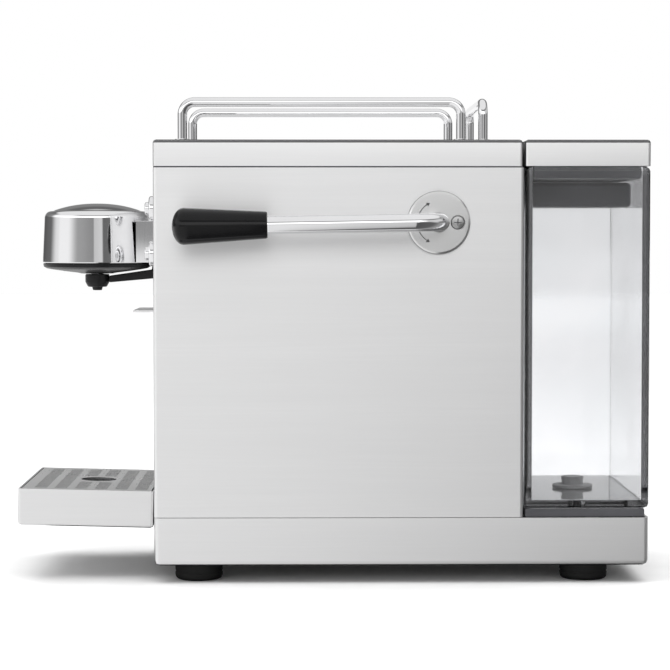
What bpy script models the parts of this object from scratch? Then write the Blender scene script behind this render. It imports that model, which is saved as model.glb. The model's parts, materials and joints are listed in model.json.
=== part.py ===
"""Pod coffee machine with a side lever, as separate pieces at their real size.

Sizes are in metres. While a piece is drawn, X runs to the lever side from the
middle plane, Y runs rearward from the face of the front panel, and Z runs up from
the floor. The empty at the end moves the whole machine, so that its origin is
under the middle of its bounding box.
"""

import math

import bmesh
import bpy
from mathutils import Matrix, Vector

# ---------------------------------------------------------------- driving sizes

# Casing
BODY_WIDTH = 0.145
BODY_DEPTH = 0.2105
FOOT_HEIGHT = 0.0102
BASE_HEIGHT = 0.0274
PANEL_HEIGHT = 0.1999
PLATE_HEIGHT = 0.0150
SHEET = 0.0012
BASE_WALL = 0.0015
BEND_RADIUS = 0.0022
FRONT_RETURN = 0.008
REAR_RETURN = 0.012
FOOT_DIAMETER = 0.0275
FOOT_INSET = 0.022
FOOT_FRONT_Y = 0.0246
FOOT_REAR_INSET = 0.0349

# Clearances
GAP = 0.0003
RUNNING = 0.0004
SEAM = 0.0008

# Cup rails
RAIL_WIRE = 0.0055
RAIL_RISE = 0.0245
RAIL_INSET = 0.0134
RAIL_CORNER = 0.007
RAIL_FRONT_Y = 0.0162
RAIL_REAR_INSET = 0.0354
CROSS_RAIL_INSET = 0.0224
CROSS_RAIL_SIDE = 0.0188

# Water tank
TANK_DEPTH = 0.0712
TANK_WALL = 0.0042
SEAT_HEIGHT = 0.0047
LINER_HEIGHT = 0.007
CARRY_BAR_WIDTH = 0.049
CARRY_BAR_HEIGHT = 0.0145
VALVE_DIAMETER = 0.0134
DOCK_DIAMETER = 0.020

# Lever
PIVOT_Y = 0.1617
PIVOT_Z = 0.2056
LEVER_ROD = 0.010
LEVER_REACH = 0.035
LEVER_BEND = 0.015
LEVER_LENGTH = 0.1492
GRIP_LENGTH = 0.0527
GRIP_THIN = 0.015
GRIP_THICK = 0.0205
LEVER_SWING = math.radians(90)
LEVER_DROOP = math.radians(0.8)
SHAFT_DIAMETER = 0.012
SHAFT_INSET = 0.002
SHAFT_OVERHANG = 0.008
CAM_THICKNESS = 0.006
CAM_RIM = 0.0035
FOLLOWER_DIAMETER = 0.006
ESCUTCHEON_DIAMETER = 0.0358
ESCUTCHEON_THICKNESS = 0.003
ESCUTCHEON_SCREW_OFFSET = 0.0107
SCREW_HEAD = 0.008

# Brew unit
CHASSIS_SHEET = 0.0015
PISTON_DROP = 0.014
PISTON_STROKE = 0.018
GUIDE_CLEARANCE = 0.003
FOLLOWER_REACH = 0.023
POD_DIAMETER = 0.038
POD_CUP_DEPTH = 0.017
POD_CUP_WALL = 0.0035
BLOCK_FRONT_Y = 0.004
BLOCK_THICKNESS = 0.010
POD_GAP_CLOSED = 0.008
STEM_DIAMETER = 0.020
GUIDE_THICKNESS = 0.012

# Brew head
DRUM_Y = -0.0380
DRUM_RADIUS = 0.0325
DRUM_TAPER = 0.001
DRUM_BOTTOM = 0.182
DRUM_SHOULDER = 0.2105
DRUM_TOP = 0.2174
DRUM_WALL = 0.0015
NECK_WIDTH = 0.044
NECK_TOP = 0.2068
SPOUT_DIAMETER = 0.0144
SPOUT_BOTTOM = 0.1676
SPOUT_TIP = 0.1656
ARM_WIDTH = 0.012

# Push buttons
BUTTON_X_INSET = 0.0275
BUTTON_HEIGHTS = {"upper": 0.2137, "lower": 0.1877}
BEZEL_DIAMETER = 0.0145
BEZEL_PROUD = 0.004
CAP_DIAMETER = 0.0075
CAP_PROUD = 0.0065
BUTTON_TRAVEL = 0.002
SWITCH_SIZE = 0.016

# Used-pod drawer
DRAWER_WIDTH = 0.054
DRAWER_DEPTH = 0.108
DRAWER_TOP = 0.1547
DRAWER_HEIGHT = 0.094
DRAWER_WALL = 0.0010
DRAWER_LIP = 0.015
DRAWER_SIDE_GAP = 0.0035
LIP_THICKNESS = 0.0013

# Drip tray
TRAY_WIDTH = 0.119
TRAY_FRONT_Y = -0.0792
TRAY_BACK_Y = -0.001
TRAY_BOTTOM = 0.0302
TRAY_HEIGHT = 0.0212
TRAY_WALL = 0.0012
TRAY_TILT = math.radians(1.4)
GRATE_BANDS = 6
GRATE_PITCH = 0.0116
GRATE_BAND = 0.0074
GRATE_FRONT_MARGIN = 0.0064
GRATE_SIDE_MARGIN = 0.006
GRATE_THICKNESS = 0.0012
SLOT_PITCH = 0.0080
SLOT_WIDTH = 0.0045
HOLE_DIAMETER = 0.021
HOOK_WIDTH = 0.014
HOOK_SPACING = 0.090
HOOK_Z = 0.0445
HOOK_THICKNESS = 0.003
HOOK_LENGTH = 0.008

# Small parts
INLET_WIDTH = 0.030
INLET_HEIGHT = 0.020
INLET_DEPTH = 0.018
INLET_PROUD = 0.0005
BUSH_DIAMETER = 0.016
SCREW_SHANK = 0.003
BEZEL_SHANK = 0.011
BEZEL_DEPTH = 0.007
OUTLET_TUBE = 0.008
RAIL_ROOT = 0.008
STEM_RADIUS = 0.003
GRIP_BORE_DEPTH = 0.030
CAM_STEPS = 18
CHEEK_THICKNESS = 0.005
SHOULDER_RADIUS = 0.003
DISH_BOTTOM = 0.1755
HOSE_DIAMETER = 0.007
PUMP_DIAMETER = 0.034
PUMP_Z = 0.068
PUMP_FRONT = 0.130
HEATER_FRONT = 0.128
HEATER_REAR = 0.188
HEATER_HEIGHT = 0.045
POD_THICKNESS = 0.024
POD_THICKNESS_PLAY = 0.0014
POD_SLOT_PLAY = 0.002

# ---------------------------------------------------------------- derived places

HALF = BODY_WIDTH / 2
BASE_TOP = FOOT_HEIGHT + BASE_HEIGHT
PANEL_TOP = BASE_TOP + PANEL_HEIGHT
PLATE_TOP = PANEL_TOP + PLATE_HEIGHT
TANK_FRONT = BODY_DEPTH + RUNNING
TANK_REAR = TANK_FRONT + TANK_DEPTH
TANK_FLOOR = BASE_TOP + GAP + SEAT_HEIGHT + GAP
TANK_RIM = PANEL_TOP - GAP
TANK_MIDDLE = (TANK_FRONT + TANK_REAR) / 2
PISTON_Z = PIVOT_Z - PISTON_DROP
BLOCK_BACK = BLOCK_FRONT_Y + BLOCK_THICKNESS
CUP_RIM_Y = BLOCK_BACK + POD_GAP_CLOSED
CUP_RADIUS = POD_DIAMETER / 2 + POD_CUP_WALL
CUP_BACK_Y = CUP_RIM_Y + POD_CUP_DEPTH + POD_CUP_WALL
GUIDE_Y = CUP_BACK_Y + PISTON_STROKE + GUIDE_CLEARANCE
DRAWER_BOTTOM = DRAWER_TOP - DRAWER_HEIGHT
CHASSIS_HALF = DRAWER_WIDTH / 2 + DRAWER_SIDE_GAP
SWITCH_CLEAR_X = CHASSIS_HALF + CHASSIS_SHEET + GAP + SWITCH_SIZE / 2
BUTTON_X = max(HALF - BUTTON_X_INSET, SWITCH_CLEAR_X)
SHAFT_END = HALF - SHAFT_INSET
SHAFT_START = -CHASSIS_HALF - CHASSIS_SHEET - SHAFT_OVERHANG
CAM_REACH = math.hypot(FOLLOWER_REACH, PISTON_DROP) + FOLLOWER_DIAMETER / 2 + RUNNING + CAM_RIM
STEM_END = PIVOT_Y - CAM_REACH - 0.75 * PISTON_STROKE
POD_SLOT_WIDTH = POD_DIAMETER + POD_SLOT_PLAY
POD_SLOT_FRONT = BLOCK_BACK + POD_SLOT_PLAY
POD_SLOT_BACK = POD_SLOT_FRONT + POD_THICKNESS + POD_THICKNESS_PLAY
TRAY_LEAN = TRAY_HEIGHT * math.sin(TRAY_TILT)
RIGHT_END = HALF + LEVER_REACH + GRIP_THICK / 2

RADIAL_STEPS = 24
FINE_STEPS = 36


# ---------------------------------------------------------------- tools


def clear_scene():
    for obj in list(bpy.data.objects):
        bpy.data.objects.remove(obj, do_unlink=True)


def new_collection(name):
    collection = bpy.data.collections.new(name)
    bpy.context.scene.collection.children.link(collection)
    return collection


def new_material(name, color, roughness, metallic=0.0, alpha=1.0):
    material = bpy.data.materials.new(name)
    material.use_nodes = True
    shader = material.node_tree.nodes["Principled BSDF"]
    shader.inputs["Base Color"].default_value = (*color, 1.0)
    shader.inputs["Roughness"].default_value = roughness
    shader.inputs["Metallic"].default_value = metallic
    shader.inputs["Alpha"].default_value = alpha
    return material


def link(name, mesh, collection=None, material=None):
    """Make an object of a mesh, among the machine's pieces unless told otherwise."""
    obj = bpy.data.objects.new(name, mesh)
    (collection or PARTS).objects.link(obj)
    if material:
        mesh.materials.append(material)
    return obj


def mesh_from(name, bm):
    bmesh.ops.recalc_face_normals(bm, faces=bm.faces)
    mesh = bpy.data.meshes.new(name)
    bm.to_mesh(mesh)
    bm.free()
    return mesh


def box_mesh(name, low, high):
    """A plain box between two corners."""
    low, high = Vector(low), Vector(high)
    bm = bmesh.new()
    bmesh.ops.create_cube(bm, size=1.0)
    bmesh.ops.scale(bm, vec=high - low, verts=bm.verts)
    bmesh.ops.translate(bm, vec=(low + high) / 2, verts=bm.verts)
    return mesh_from(name, bm)


def add_bevel(obj, width, segments=2, angle=math.radians(40)):
    bevel = obj.modifiers.new("rounding", "BEVEL")
    bevel.width = width
    bevel.segments = segments
    bevel.limit_method = "ANGLE"
    bevel.angle_limit = angle
    return obj


def box(name, low, high, material, rounding=0.0):
    obj = link(name, box_mesh(name, low, high), material=material)
    if rounding:
        add_bevel(obj, rounding)
    return obj


def open_box(name, low, high, open_side, wall, material, rounding, segments=2):
    """A folded or moulded box with one open side (+1 top, -1 bottom) and one wall."""
    low, high = Vector(low), Vector(high)
    bm = bmesh.new()
    bmesh.ops.create_cube(bm, size=1.0)
    bmesh.ops.scale(bm, vec=high - low, verts=bm.verts)
    bmesh.ops.translate(bm, vec=(low + high) / 2, verts=bm.verts)
    lid = [f for f in bm.faces if f.normal.z * open_side > 0.5]
    bmesh.ops.delete(bm, geom=lid, context="FACES")
    inner = [e for e in bm.edges if len(e.link_faces) == 2]
    bmesh.ops.bevel(bm, geom=inner, offset=rounding, segments=segments, profile=0.5, affect="EDGES")
    mesh = mesh_from(name, bm)
    obj = link(name, mesh, material=material)
    shell = obj.modifiers.new("wall", "SOLIDIFY")
    shell.thickness = wall
    shell.offset = -1.0
    shell.use_even_offset = True
    return obj


def arc(centre, radius, start, end, steps):
    """Points on an arc in a plane, from one angle to another."""
    points = []
    for step in range(steps + 1):
        angle = start + (end - start) * step / steps
        points.append((centre[0] + radius * math.cos(angle), centre[1] + radius * math.sin(angle)))
    return points


def rounded_path(points, radius, steps=4):
    """A path with each inner corner replaced by an arc of the given radius."""
    path = [Vector(points[0])]
    for before, corner, after in zip(points, points[1:], points[2:]):
        before, corner, after = Vector(before), Vector(corner), Vector(after)
        back = (before - corner).normalized()
        ahead = (after - corner).normalized()
        half = back.angle(ahead) / 2
        reach = radius / math.tan(half)
        centre = corner + (back + ahead).normalized() * radius / math.sin(half)
        start = corner + back * reach - centre
        end = corner + ahead * reach - centre
        for step in range(steps + 1):
            path.append(centre + start.normalized().slerp(end.normalized(), step / steps) * radius)
    path.append(Vector(points[-1]))
    return path


def bent_sheet(name, outline, bottom, top, thickness, side, material):
    """Sheet metal bent along a path in plan and standing from bottom to top."""
    path = rounded_path([(x, y, 0.0) for x, y in outline], BEND_RADIUS)
    bm = bmesh.new()
    rows = []
    for point in path:
        rows.append([bm.verts.new((point.x, point.y, z)) for z in (bottom, top)])
    for here, there in zip(rows, rows[1:]):
        bm.faces.new((here[0], there[0], there[1], here[1]))
    mesh = bpy.data.meshes.new(name)
    bm.to_mesh(mesh)
    bm.free()
    obj = link(name, mesh, material=material)
    shell = obj.modifiers.new("sheet", "SOLIDIFY")
    shell.thickness = thickness
    shell.offset = side
    shell.use_even_offset = True
    return obj


def turned(name, profile, centre, axis, material=None, steps=RADIAL_STEPS, collection=None):
    """A turned shape: (radius, height) points, top to bottom, spun about an axis."""
    bm = bmesh.new()
    verts = [bm.verts.new((radius, 0.0, height)) for radius, height in profile]
    for here, there in zip(verts, verts[1:]):
        bm.edges.new((here, there))
    if profile[0][0] > 0 and profile[-1][0] > 0:
        bm.edges.new((verts[-1], verts[0]))
    mesh = bpy.data.meshes.new(name)
    bm.to_mesh(mesh)
    bm.free()
    obj = link(name, mesh, collection, material)
    screw = obj.modifiers.new("turning", "SCREW")
    screw.axis = "Z"
    screw.steps = steps
    screw.render_steps = steps
    screw.use_merge_vertices = True
    screw.merge_threshold = 0.00001
    screw.use_smooth_shade = True
    turn = Vector((0, 0, 1)).rotation_difference(Vector(axis)).to_matrix().to_4x4()
    bake(obj, Matrix.Translation(centre) @ turn)
    return obj


def bake(obj, matrix=None):
    """Turn an object's modifiers or curve into plain mesh, moved by a matrix."""
    bpy.context.view_layer.update()
    graph = bpy.context.evaluated_depsgraph_get()
    mesh = bpy.data.meshes.new_from_object(obj.evaluated_get(graph))
    if matrix:
        mesh.transform(matrix)
    obj.modifiers.clear()
    obj.data = mesh
    return obj


def mesh_of_curve(curve):
    """The closed skin that a curve makes, with its caps joined on."""
    helper = link(curve.name + "_guide", curve)
    bpy.context.view_layer.update()
    graph = bpy.context.evaluated_depsgraph_get()
    mesh = bpy.data.meshes.new_from_object(helper.evaluated_get(graph))
    bpy.data.objects.remove(helper)
    bm = bmesh.new()
    bm.from_mesh(mesh)
    bmesh.ops.remove_doubles(bm, verts=bm.verts, dist=0.000001)
    bmesh.ops.recalc_face_normals(bm, faces=bm.faces)
    bm.to_mesh(mesh)
    bm.free()
    return mesh


def rod(name, points, diameter, material, resolution=4):
    """Round wire or rod along a path, closed at both ends."""
    curve = bpy.data.curves.new(name, "CURVE")
    curve.dimensions = "3D"
    curve.bevel_depth = diameter / 2
    curve.bevel_resolution = resolution
    curve.use_fill_caps = True
    spline = curve.splines.new("POLY")
    spline.points.add(len(points) - 1)
    for place, point in zip(spline.points, points):
        place.co = (*point, 1.0)
    return link(name, mesh_of_curve(curve), material=material)


def outline_plate(name, points, thickness, centre, axis, material=None, collection=None):
    """A flat outline of (across, up) points, given thickness about its middle."""
    curve = bpy.data.curves.new(name, "CURVE")
    curve.dimensions = "2D"
    curve.fill_mode = "BOTH"
    curve.extrude = thickness / 2
    spline = curve.splines.new("POLY")
    spline.points.add(len(points) - 1)
    spline.use_cyclic_u = True
    for place, point in zip(spline.points, points):
        place.co = (*point, 0.0, 1.0)
    mesh = mesh_of_curve(curve)
    mesh.transform(Matrix.Translation(centre) @ PLANES[axis])
    return link(name, mesh, collection, material)


# An outline drawn across and up is stood in the plane that faces this axis.
PLANES = {
    "X": Matrix(((0, 0, 1, 0), (1, 0, 0, 0), (0, 1, 0, 0), (0, 0, 0, 1))),
    "Y": Matrix(((1, 0, 0, 0), (0, 0, -1, 0), (0, 1, 0, 0), (0, 0, 0, 1))),
    "Z": Matrix.Identity(4),
}


def as_cutter(obj):
    for collection in list(obj.users_collection):
        collection.objects.unlink(obj)
    CUTTERS.objects.link(obj)
    obj.hide_render = True
    obj.display_type = "WIRE"
    return obj


def combine(obj, other, operation):
    step = obj.modifiers.new(operation.lower(), "BOOLEAN")
    step.operation = operation
    step.object = other
    step.solver = "EXACT"
    return obj


def cut_box(obj, low, high):
    name = f"cut_{obj.name}_{len(obj.modifiers)}"
    return combine(obj, as_cutter(link(name, box_mesh(name, low, high))), "DIFFERENCE")


def add_box(obj, low, high):
    name = f"add_{obj.name}_{len(obj.modifiers)}"
    return combine(obj, as_cutter(link(name, box_mesh(name, low, high))), "UNION")


def cylinder(name, centre, axis, radius, length, steps=RADIAL_STEPS):
    bm = bmesh.new()
    bmesh.ops.create_cone(bm, cap_ends=True, segments=steps, radius1=radius, radius2=radius, depth=length)
    mesh = mesh_from(name, bm)
    turn = Vector((0, 0, 1)).rotation_difference(Vector(axis)).to_matrix().to_4x4()
    mesh.transform(Matrix.Translation(centre) @ turn)
    return link(name, mesh)


def cut_round(obj, centre, axis, diameter, length, steps=RADIAL_STEPS):
    name = f"cut_{obj.name}_{len(obj.modifiers)}"
    return combine(obj, as_cutter(cylinder(name, centre, axis, diameter / 2, length, steps)), "DIFFERENCE")


def add_round(obj, centre, axis, diameter, length, steps=RADIAL_STEPS):
    name = f"add_{obj.name}_{len(obj.modifiers)}"
    return combine(obj, as_cutter(cylinder(name, centre, axis, diameter / 2, length, steps)), "UNION")


def smooth(obj, angle=math.radians(35)):
    obj.data.shade_smooth()
    obj.data.set_sharp_from_angle(angle=angle)
    return obj


def set_pivot(obj, point):
    """Put an object's origin on its joint's axis without moving its shape."""
    point = Vector(point)
    obj.data.transform(Matrix.Translation(-point))
    obj.location = point
    return obj


# ---------------------------------------------------------------- casing


def make_base():
    low = (-HALF, 0, FOOT_HEIGHT)
    high = (HALF, TANK_REAR, BASE_TOP)
    base = open_box("base_pan", low, high, 1, BASE_WALL, STEEL, 0.003)
    bake(base)
    inlet_z = (FOOT_HEIGHT + BASE_TOP) / 2
    cut_box(
        base,
        (-INLET_WIDTH / 2 - GAP, TANK_REAR - 0.01, inlet_z - INLET_HEIGHT / 2 - GAP),
        (INLET_WIDTH / 2 + GAP, TANK_REAR + 0.01, inlet_z + INLET_HEIGHT / 2 + GAP),
    )
    rear_foot = TANK_REAR - FOOT_REAR_INSET
    feet = {
        "foot_front_left": (-HALF + FOOT_INSET, FOOT_FRONT_Y),
        "foot_front_right": (HALF - FOOT_INSET, FOOT_FRONT_Y),
        "foot_rear_left": (-HALF + FOOT_INSET, rear_foot),
        "foot_rear_right": (HALF - FOOT_INSET, rear_foot),
    }
    radius = FOOT_DIAMETER / 2
    top = FOOT_HEIGHT - GAP
    profile = [(0, top), (radius, top), (radius, 0.003), (radius - 0.001, 0.001), (radius - 0.003, 0), (0, 0)]
    for name, (x, y) in feet.items():
        smooth(turned(name, profile, (x, y, 0), (0, 0, 1), RUBBER))


def make_inlet():
    """Mains inlet on the back of the base pan; the pins stand in its open socket."""
    middle = (FOOT_HEIGHT + BASE_TOP) / 2
    half_w = INLET_WIDTH / 2
    half_h = INLET_HEIGHT / 2
    face = TANK_REAR + INLET_PROUD
    inlet = box("power_inlet", (-half_w, face - INLET_DEPTH, middle - half_h),
                (half_w, face, middle + half_h), BLACK)
    rim = 0.002
    cut_box(inlet, (-half_w + rim, face - INLET_DEPTH + rim, middle - half_h + rim),
            (half_w - rim, face + rim, middle + half_h - rim))
    for x in (-0.007, 0.0, 0.007):
        back = face - INLET_DEPTH + rim / 2
        add_box(inlet, (x - 0.001, back, middle - 0.002), (x + 0.001, face - rim, middle + 0.002))


def make_side_panels():
    bottom = BASE_TOP + GAP
    top = PANEL_TOP - GAP
    for name, side in (("side_panel_right", 1), ("side_panel_left", -1)):
        outline = [
            (side * (HALF - REAR_RETURN), BODY_DEPTH),
            (side * HALF, BODY_DEPTH),
            (side * HALF, 0),
            (side * (HALF - FRONT_RETURN), 0),
        ]
        panel = bent_sheet(name, outline, bottom, top, SHEET, side, STEEL)
        bake(panel)
        if side > 0:
            cut_round(panel, (HALF, PIVOT_Y, PIVOT_Z), (1, 0, 0), BUSH_DIAMETER + 2 * GAP, 0.01)
            for y in screw_places():
                cut_round(panel, (HALF, y, PIVOT_Z), (1, 0, 0), SCREW_SHANK + 2 * GAP, 0.01, 16)


def screw_places():
    return (PIVOT_Y - ESCUTCHEON_SCREW_OFFSET, PIVOT_Y + ESCUTCHEON_SCREW_OFFSET)


def make_front_panel():
    edge = HALF - FRONT_RETURN - GAP
    panel = box("front_panel", (-edge, 0, BASE_TOP + GAP), (edge, SHEET, PANEL_TOP - GAP), STEEL)
    past = 0.005
    cut_box(panel, (-DRAWER_WIDTH / 2 - SEAM, -past, DRAWER_BOTTOM - SEAM),
            (DRAWER_WIDTH / 2 + SEAM, past, DRAWER_TOP + SEAM))
    for height in BUTTON_HEIGHTS.values():
        cut_round(panel, (BUTTON_X, 0, height), (0, 1, 0), BEZEL_SHANK + 2 * GAP, 0.01, 24)
    cut_round(panel, (0, 0, PISTON_Z), (0, 1, 0), OUTLET_TUBE + 2 * GAP, 0.01, 16)
    for x in hook_places():
        cut_box(panel, (x - HOOK_WIDTH / 2 - SEAM, -past, HOOK_Z - HOOK_THICKNESS / 2 - SEAM),
                (x + HOOK_WIDTH / 2 + SEAM, past, HOOK_Z + HOOK_THICKNESS / 2 + SEAM))
    back = HALF - REAR_RETURN - GAP
    box("rear_bulkhead", (-back, BODY_DEPTH - SHEET, BASE_TOP + GAP),
        (back, BODY_DEPTH, PANEL_TOP - GAP), STEEL)


def rail_legs():
    """The rails' leg places: two side rails running rearward and one across the back."""
    side_x = HALF - RAIL_INSET
    rear_y = BODY_DEPTH - RAIL_REAR_INSET
    cross_y = BODY_DEPTH - CROSS_RAIL_INSET
    cross_x = HALF - CROSS_RAIL_SIDE
    return {
        "rail_right": ((side_x, RAIL_FRONT_Y), (side_x, rear_y)),
        "rail_left": ((-side_x, RAIL_FRONT_Y), (-side_x, rear_y)),
        "rail_rear": ((cross_x, cross_y), (-cross_x, cross_y)),
    }


def make_cup_plate():
    low = (-HALF, 0, PANEL_TOP)
    high = (HALF, BODY_DEPTH - 0.001, PLATE_TOP)
    plate = open_box("cup_plate", low, high, -1, SHEET, STEEL, 0.0018)
    bake(plate)
    for ends in rail_legs().values():
        for x, y in ends:
            cut_round(plate, (x, y, PLATE_TOP), (0, 0, 1), RAIL_WIRE + 2 * GAP, 0.01, 16)
    half = POD_SLOT_WIDTH / 2
    cut_box(plate, (-half, POD_SLOT_FRONT, PLATE_TOP - 0.005), (half, POD_SLOT_BACK, PLATE_TOP + 0.005))


def make_rails():
    foot = PLATE_TOP - RAIL_ROOT
    top = PLATE_TOP + RAIL_RISE - RAIL_WIRE / 2
    for name, ((x0, y0), (x1, y1)) in rail_legs().items():
        corners = [(x0, y0, foot), (x0, y0, top), (x1, y1, top), (x1, y1, foot)]
        path = rounded_path(corners, RAIL_CORNER, 5)
        smooth(rod(name, path, RAIL_WIRE, CHROME))


# ---------------------------------------------------------------- water tank


def make_tank():
    tank = box("water_tank", (-HALF, TANK_FRONT, TANK_FLOOR), (HALF, TANK_REAR, TANK_RIM), CLEAR, 0.0025)
    bake(tank)
    cavity_low = (-HALF + TANK_WALL, TANK_FRONT + TANK_WALL, TANK_FLOOR + TANK_WALL)
    cut_box(tank, cavity_low, (HALF - TANK_WALL, TANK_REAR - TANK_WALL, TANK_RIM + TANK_WALL))
    cut_round(tank, (0, TANK_MIDDLE, TANK_FLOOR), (0, 0, 1), VALVE_DIAMETER - 0.003, 0.02)

    seat_low = (-HALF + 0.0005, TANK_FRONT + 0.0005, BASE_TOP + GAP)
    seat_high = (HALF - 0.0005, TANK_REAR - 0.0025, BASE_TOP + GAP + SEAT_HEIGHT)
    seat = box("tank_seat", seat_low, seat_high, DARK)
    cut_round(seat, (0, TANK_MIDDLE, BASE_TOP), (0, 0, 1), DOCK_DIAMETER + 2 * GAP, 0.02)

    lid_low = (-HALF, TANK_FRONT - 0.0001, PANEL_TOP)
    open_box("tank_lid", lid_low, (HALF, TANK_REAR, PLATE_TOP), -1, SHEET, STEEL, 0.0018)
    inside = TANK_WALL + RUNNING
    liner_low = (-HALF + inside, TANK_FRONT + inside, TANK_RIM - LINER_HEIGHT)
    liner_high = (HALF - inside, TANK_REAR - inside, PANEL_TOP + 0.010)
    liner = open_box("tank_lid_liner", liner_low, liner_high, 1, 0.002, DARK, 0.002)
    bake(liner)
    bar_top = TANK_RIM - LINER_HEIGHT - 0.001
    bar = CARRY_BAR_WIDTH / 2
    box("tank_carry_bar", (-bar, TANK_FRONT + TANK_WALL + GAP, bar_top - CARRY_BAR_HEIGHT),
        (bar, TANK_REAR - TANK_WALL - GAP, bar_top), DARK, 0.002)


def make_valve():
    floor = TANK_FLOOR + TANK_WALL + GAP
    bore = VALVE_DIAMETER / 2 - 0.0015
    outer = VALVE_DIAMETER / 2
    top = floor + 0.0065
    cage = [
        (0, top), (outer, top), (outer, floor + 0.0016), (0.012, floor + 0.0016),
        (0.012, floor), (bore, floor), (bore, top - 0.001), (0, top - 0.001),
    ]
    where = (0, TANK_MIDDLE, 0)
    obj = turned("tank_valve_cage", cage, where, (0, 0, 1), DARK, 24)
    cut_box(obj, (-0.0025, TANK_MIDDLE - 0.02, floor + 0.0022), (0.0025, TANK_MIDDLE + 0.02, top - 0.0018))
    disc = bore - RUNNING
    stem = STEM_RADIUS
    bottom = floor - 0.0062
    plunger = [
        (0, floor + 0.0016), (disc, floor + 0.0016), (disc, floor), (stem, floor - 0.0005),
        (stem, bottom), (0, bottom),
    ]
    set_pivot(turned("tank_valve_plunger", plunger, where, (0, 0, 1), DARK, 24), (0, TANK_MIDDLE, floor))
    dock_top = BASE_TOP + GAP + SEAT_HEIGHT - 0.001
    radius = DOCK_DIAMETER / 2
    pin_top = bottom - GAP
    dock = [
        (0, pin_top), (0.0015, pin_top), (0.0015, dock_top - 0.006), (radius - 0.002, dock_top - 0.006),
        (radius - 0.002, dock_top), (radius, dock_top), (radius, dock_top - 0.012), (0, dock_top - 0.012),
    ]
    turned("water_dock", dock, where, (0, 0, 1), DARK, 24)


# ---------------------------------------------------------------- lever and brew unit


def make_lever():
    axis_z = PIVOT_Z
    elbow_x = HALF + LEVER_REACH
    corners = [
        (SHAFT_END + GAP, PIVOT_Y, axis_z),
        (elbow_x, PIVOT_Y, axis_z),
        (elbow_x, PIVOT_Y - LEVER_LENGTH + GRIP_LENGTH - GRIP_BORE_DEPTH + GAP, axis_z),
    ]
    pivot = (0, PIVOT_Y, PIVOT_Z)
    path = rounded_path(corners, LEVER_BEND, 7)
    droop = Matrix.Rotation(LEVER_DROOP, 4, "X")
    bar = set_pivot(smooth(rod("lever_rod", path, LEVER_ROD, CHROME, 5)), pivot)
    bar.data.transform(droop)

    end = PIVOT_Y - LEVER_LENGTH
    start = end + GRIP_LENGTH
    thin = GRIP_THIN / 2
    thick = GRIP_THICK / 2
    bore = LEVER_ROD / 2 + GAP
    dome = [(thick * math.sin(a), GRIP_LENGTH - 0.0045 + 0.0045 * math.cos(a))
            for a in (math.radians(d) for d in (0, 15, 32, 50, 70))]
    profile = dome + [
        (thick, GRIP_LENGTH - 0.0060), (thin, 0.0006), (thin - 0.0006, 0), (bore, 0),
        (bore, GRIP_BORE_DEPTH), (0, GRIP_BORE_DEPTH),
    ]
    grip = turned("lever_grip", profile, (elbow_x, start, axis_z), (0, -1, 0), GLOSS_BLACK)
    set_pivot(smooth(grip), pivot)
    grip.data.transform(droop)

    shaft = cylinder("lever_shaft", ((SHAFT_END + SHAFT_START) / 2, PIVOT_Y, PIVOT_Z), (1, 0, 0),
                     SHAFT_DIAMETER / 2, SHAFT_END - SHAFT_START)
    shaft.data.materials.append(STEEL)
    set_pivot(shaft, pivot)

    ring = BUSH_DIAMETER / 2
    bore = SHAFT_DIAMETER / 2 + GAP
    for name, side in (("shaft_bush_right", 1), ("shaft_bush_left", -1)):
        near = CHASSIS_HALF + CHASSIS_SHEET
        long = (HALF - near - 0.0005) if side > 0 else 0.006
        flange = ring + 0.002
        profile = [(bore, long), (ring, long), (ring, 0.0025), (flange, 0.0025), (flange, GAP),
                   (ring, GAP), (ring, -CHASSIS_SHEET), (bore, -CHASSIS_SHEET)]
        turned(name, profile, (side * near, PIVOT_Y, PIVOT_Z), (side, 0, 0), DARK)


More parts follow.
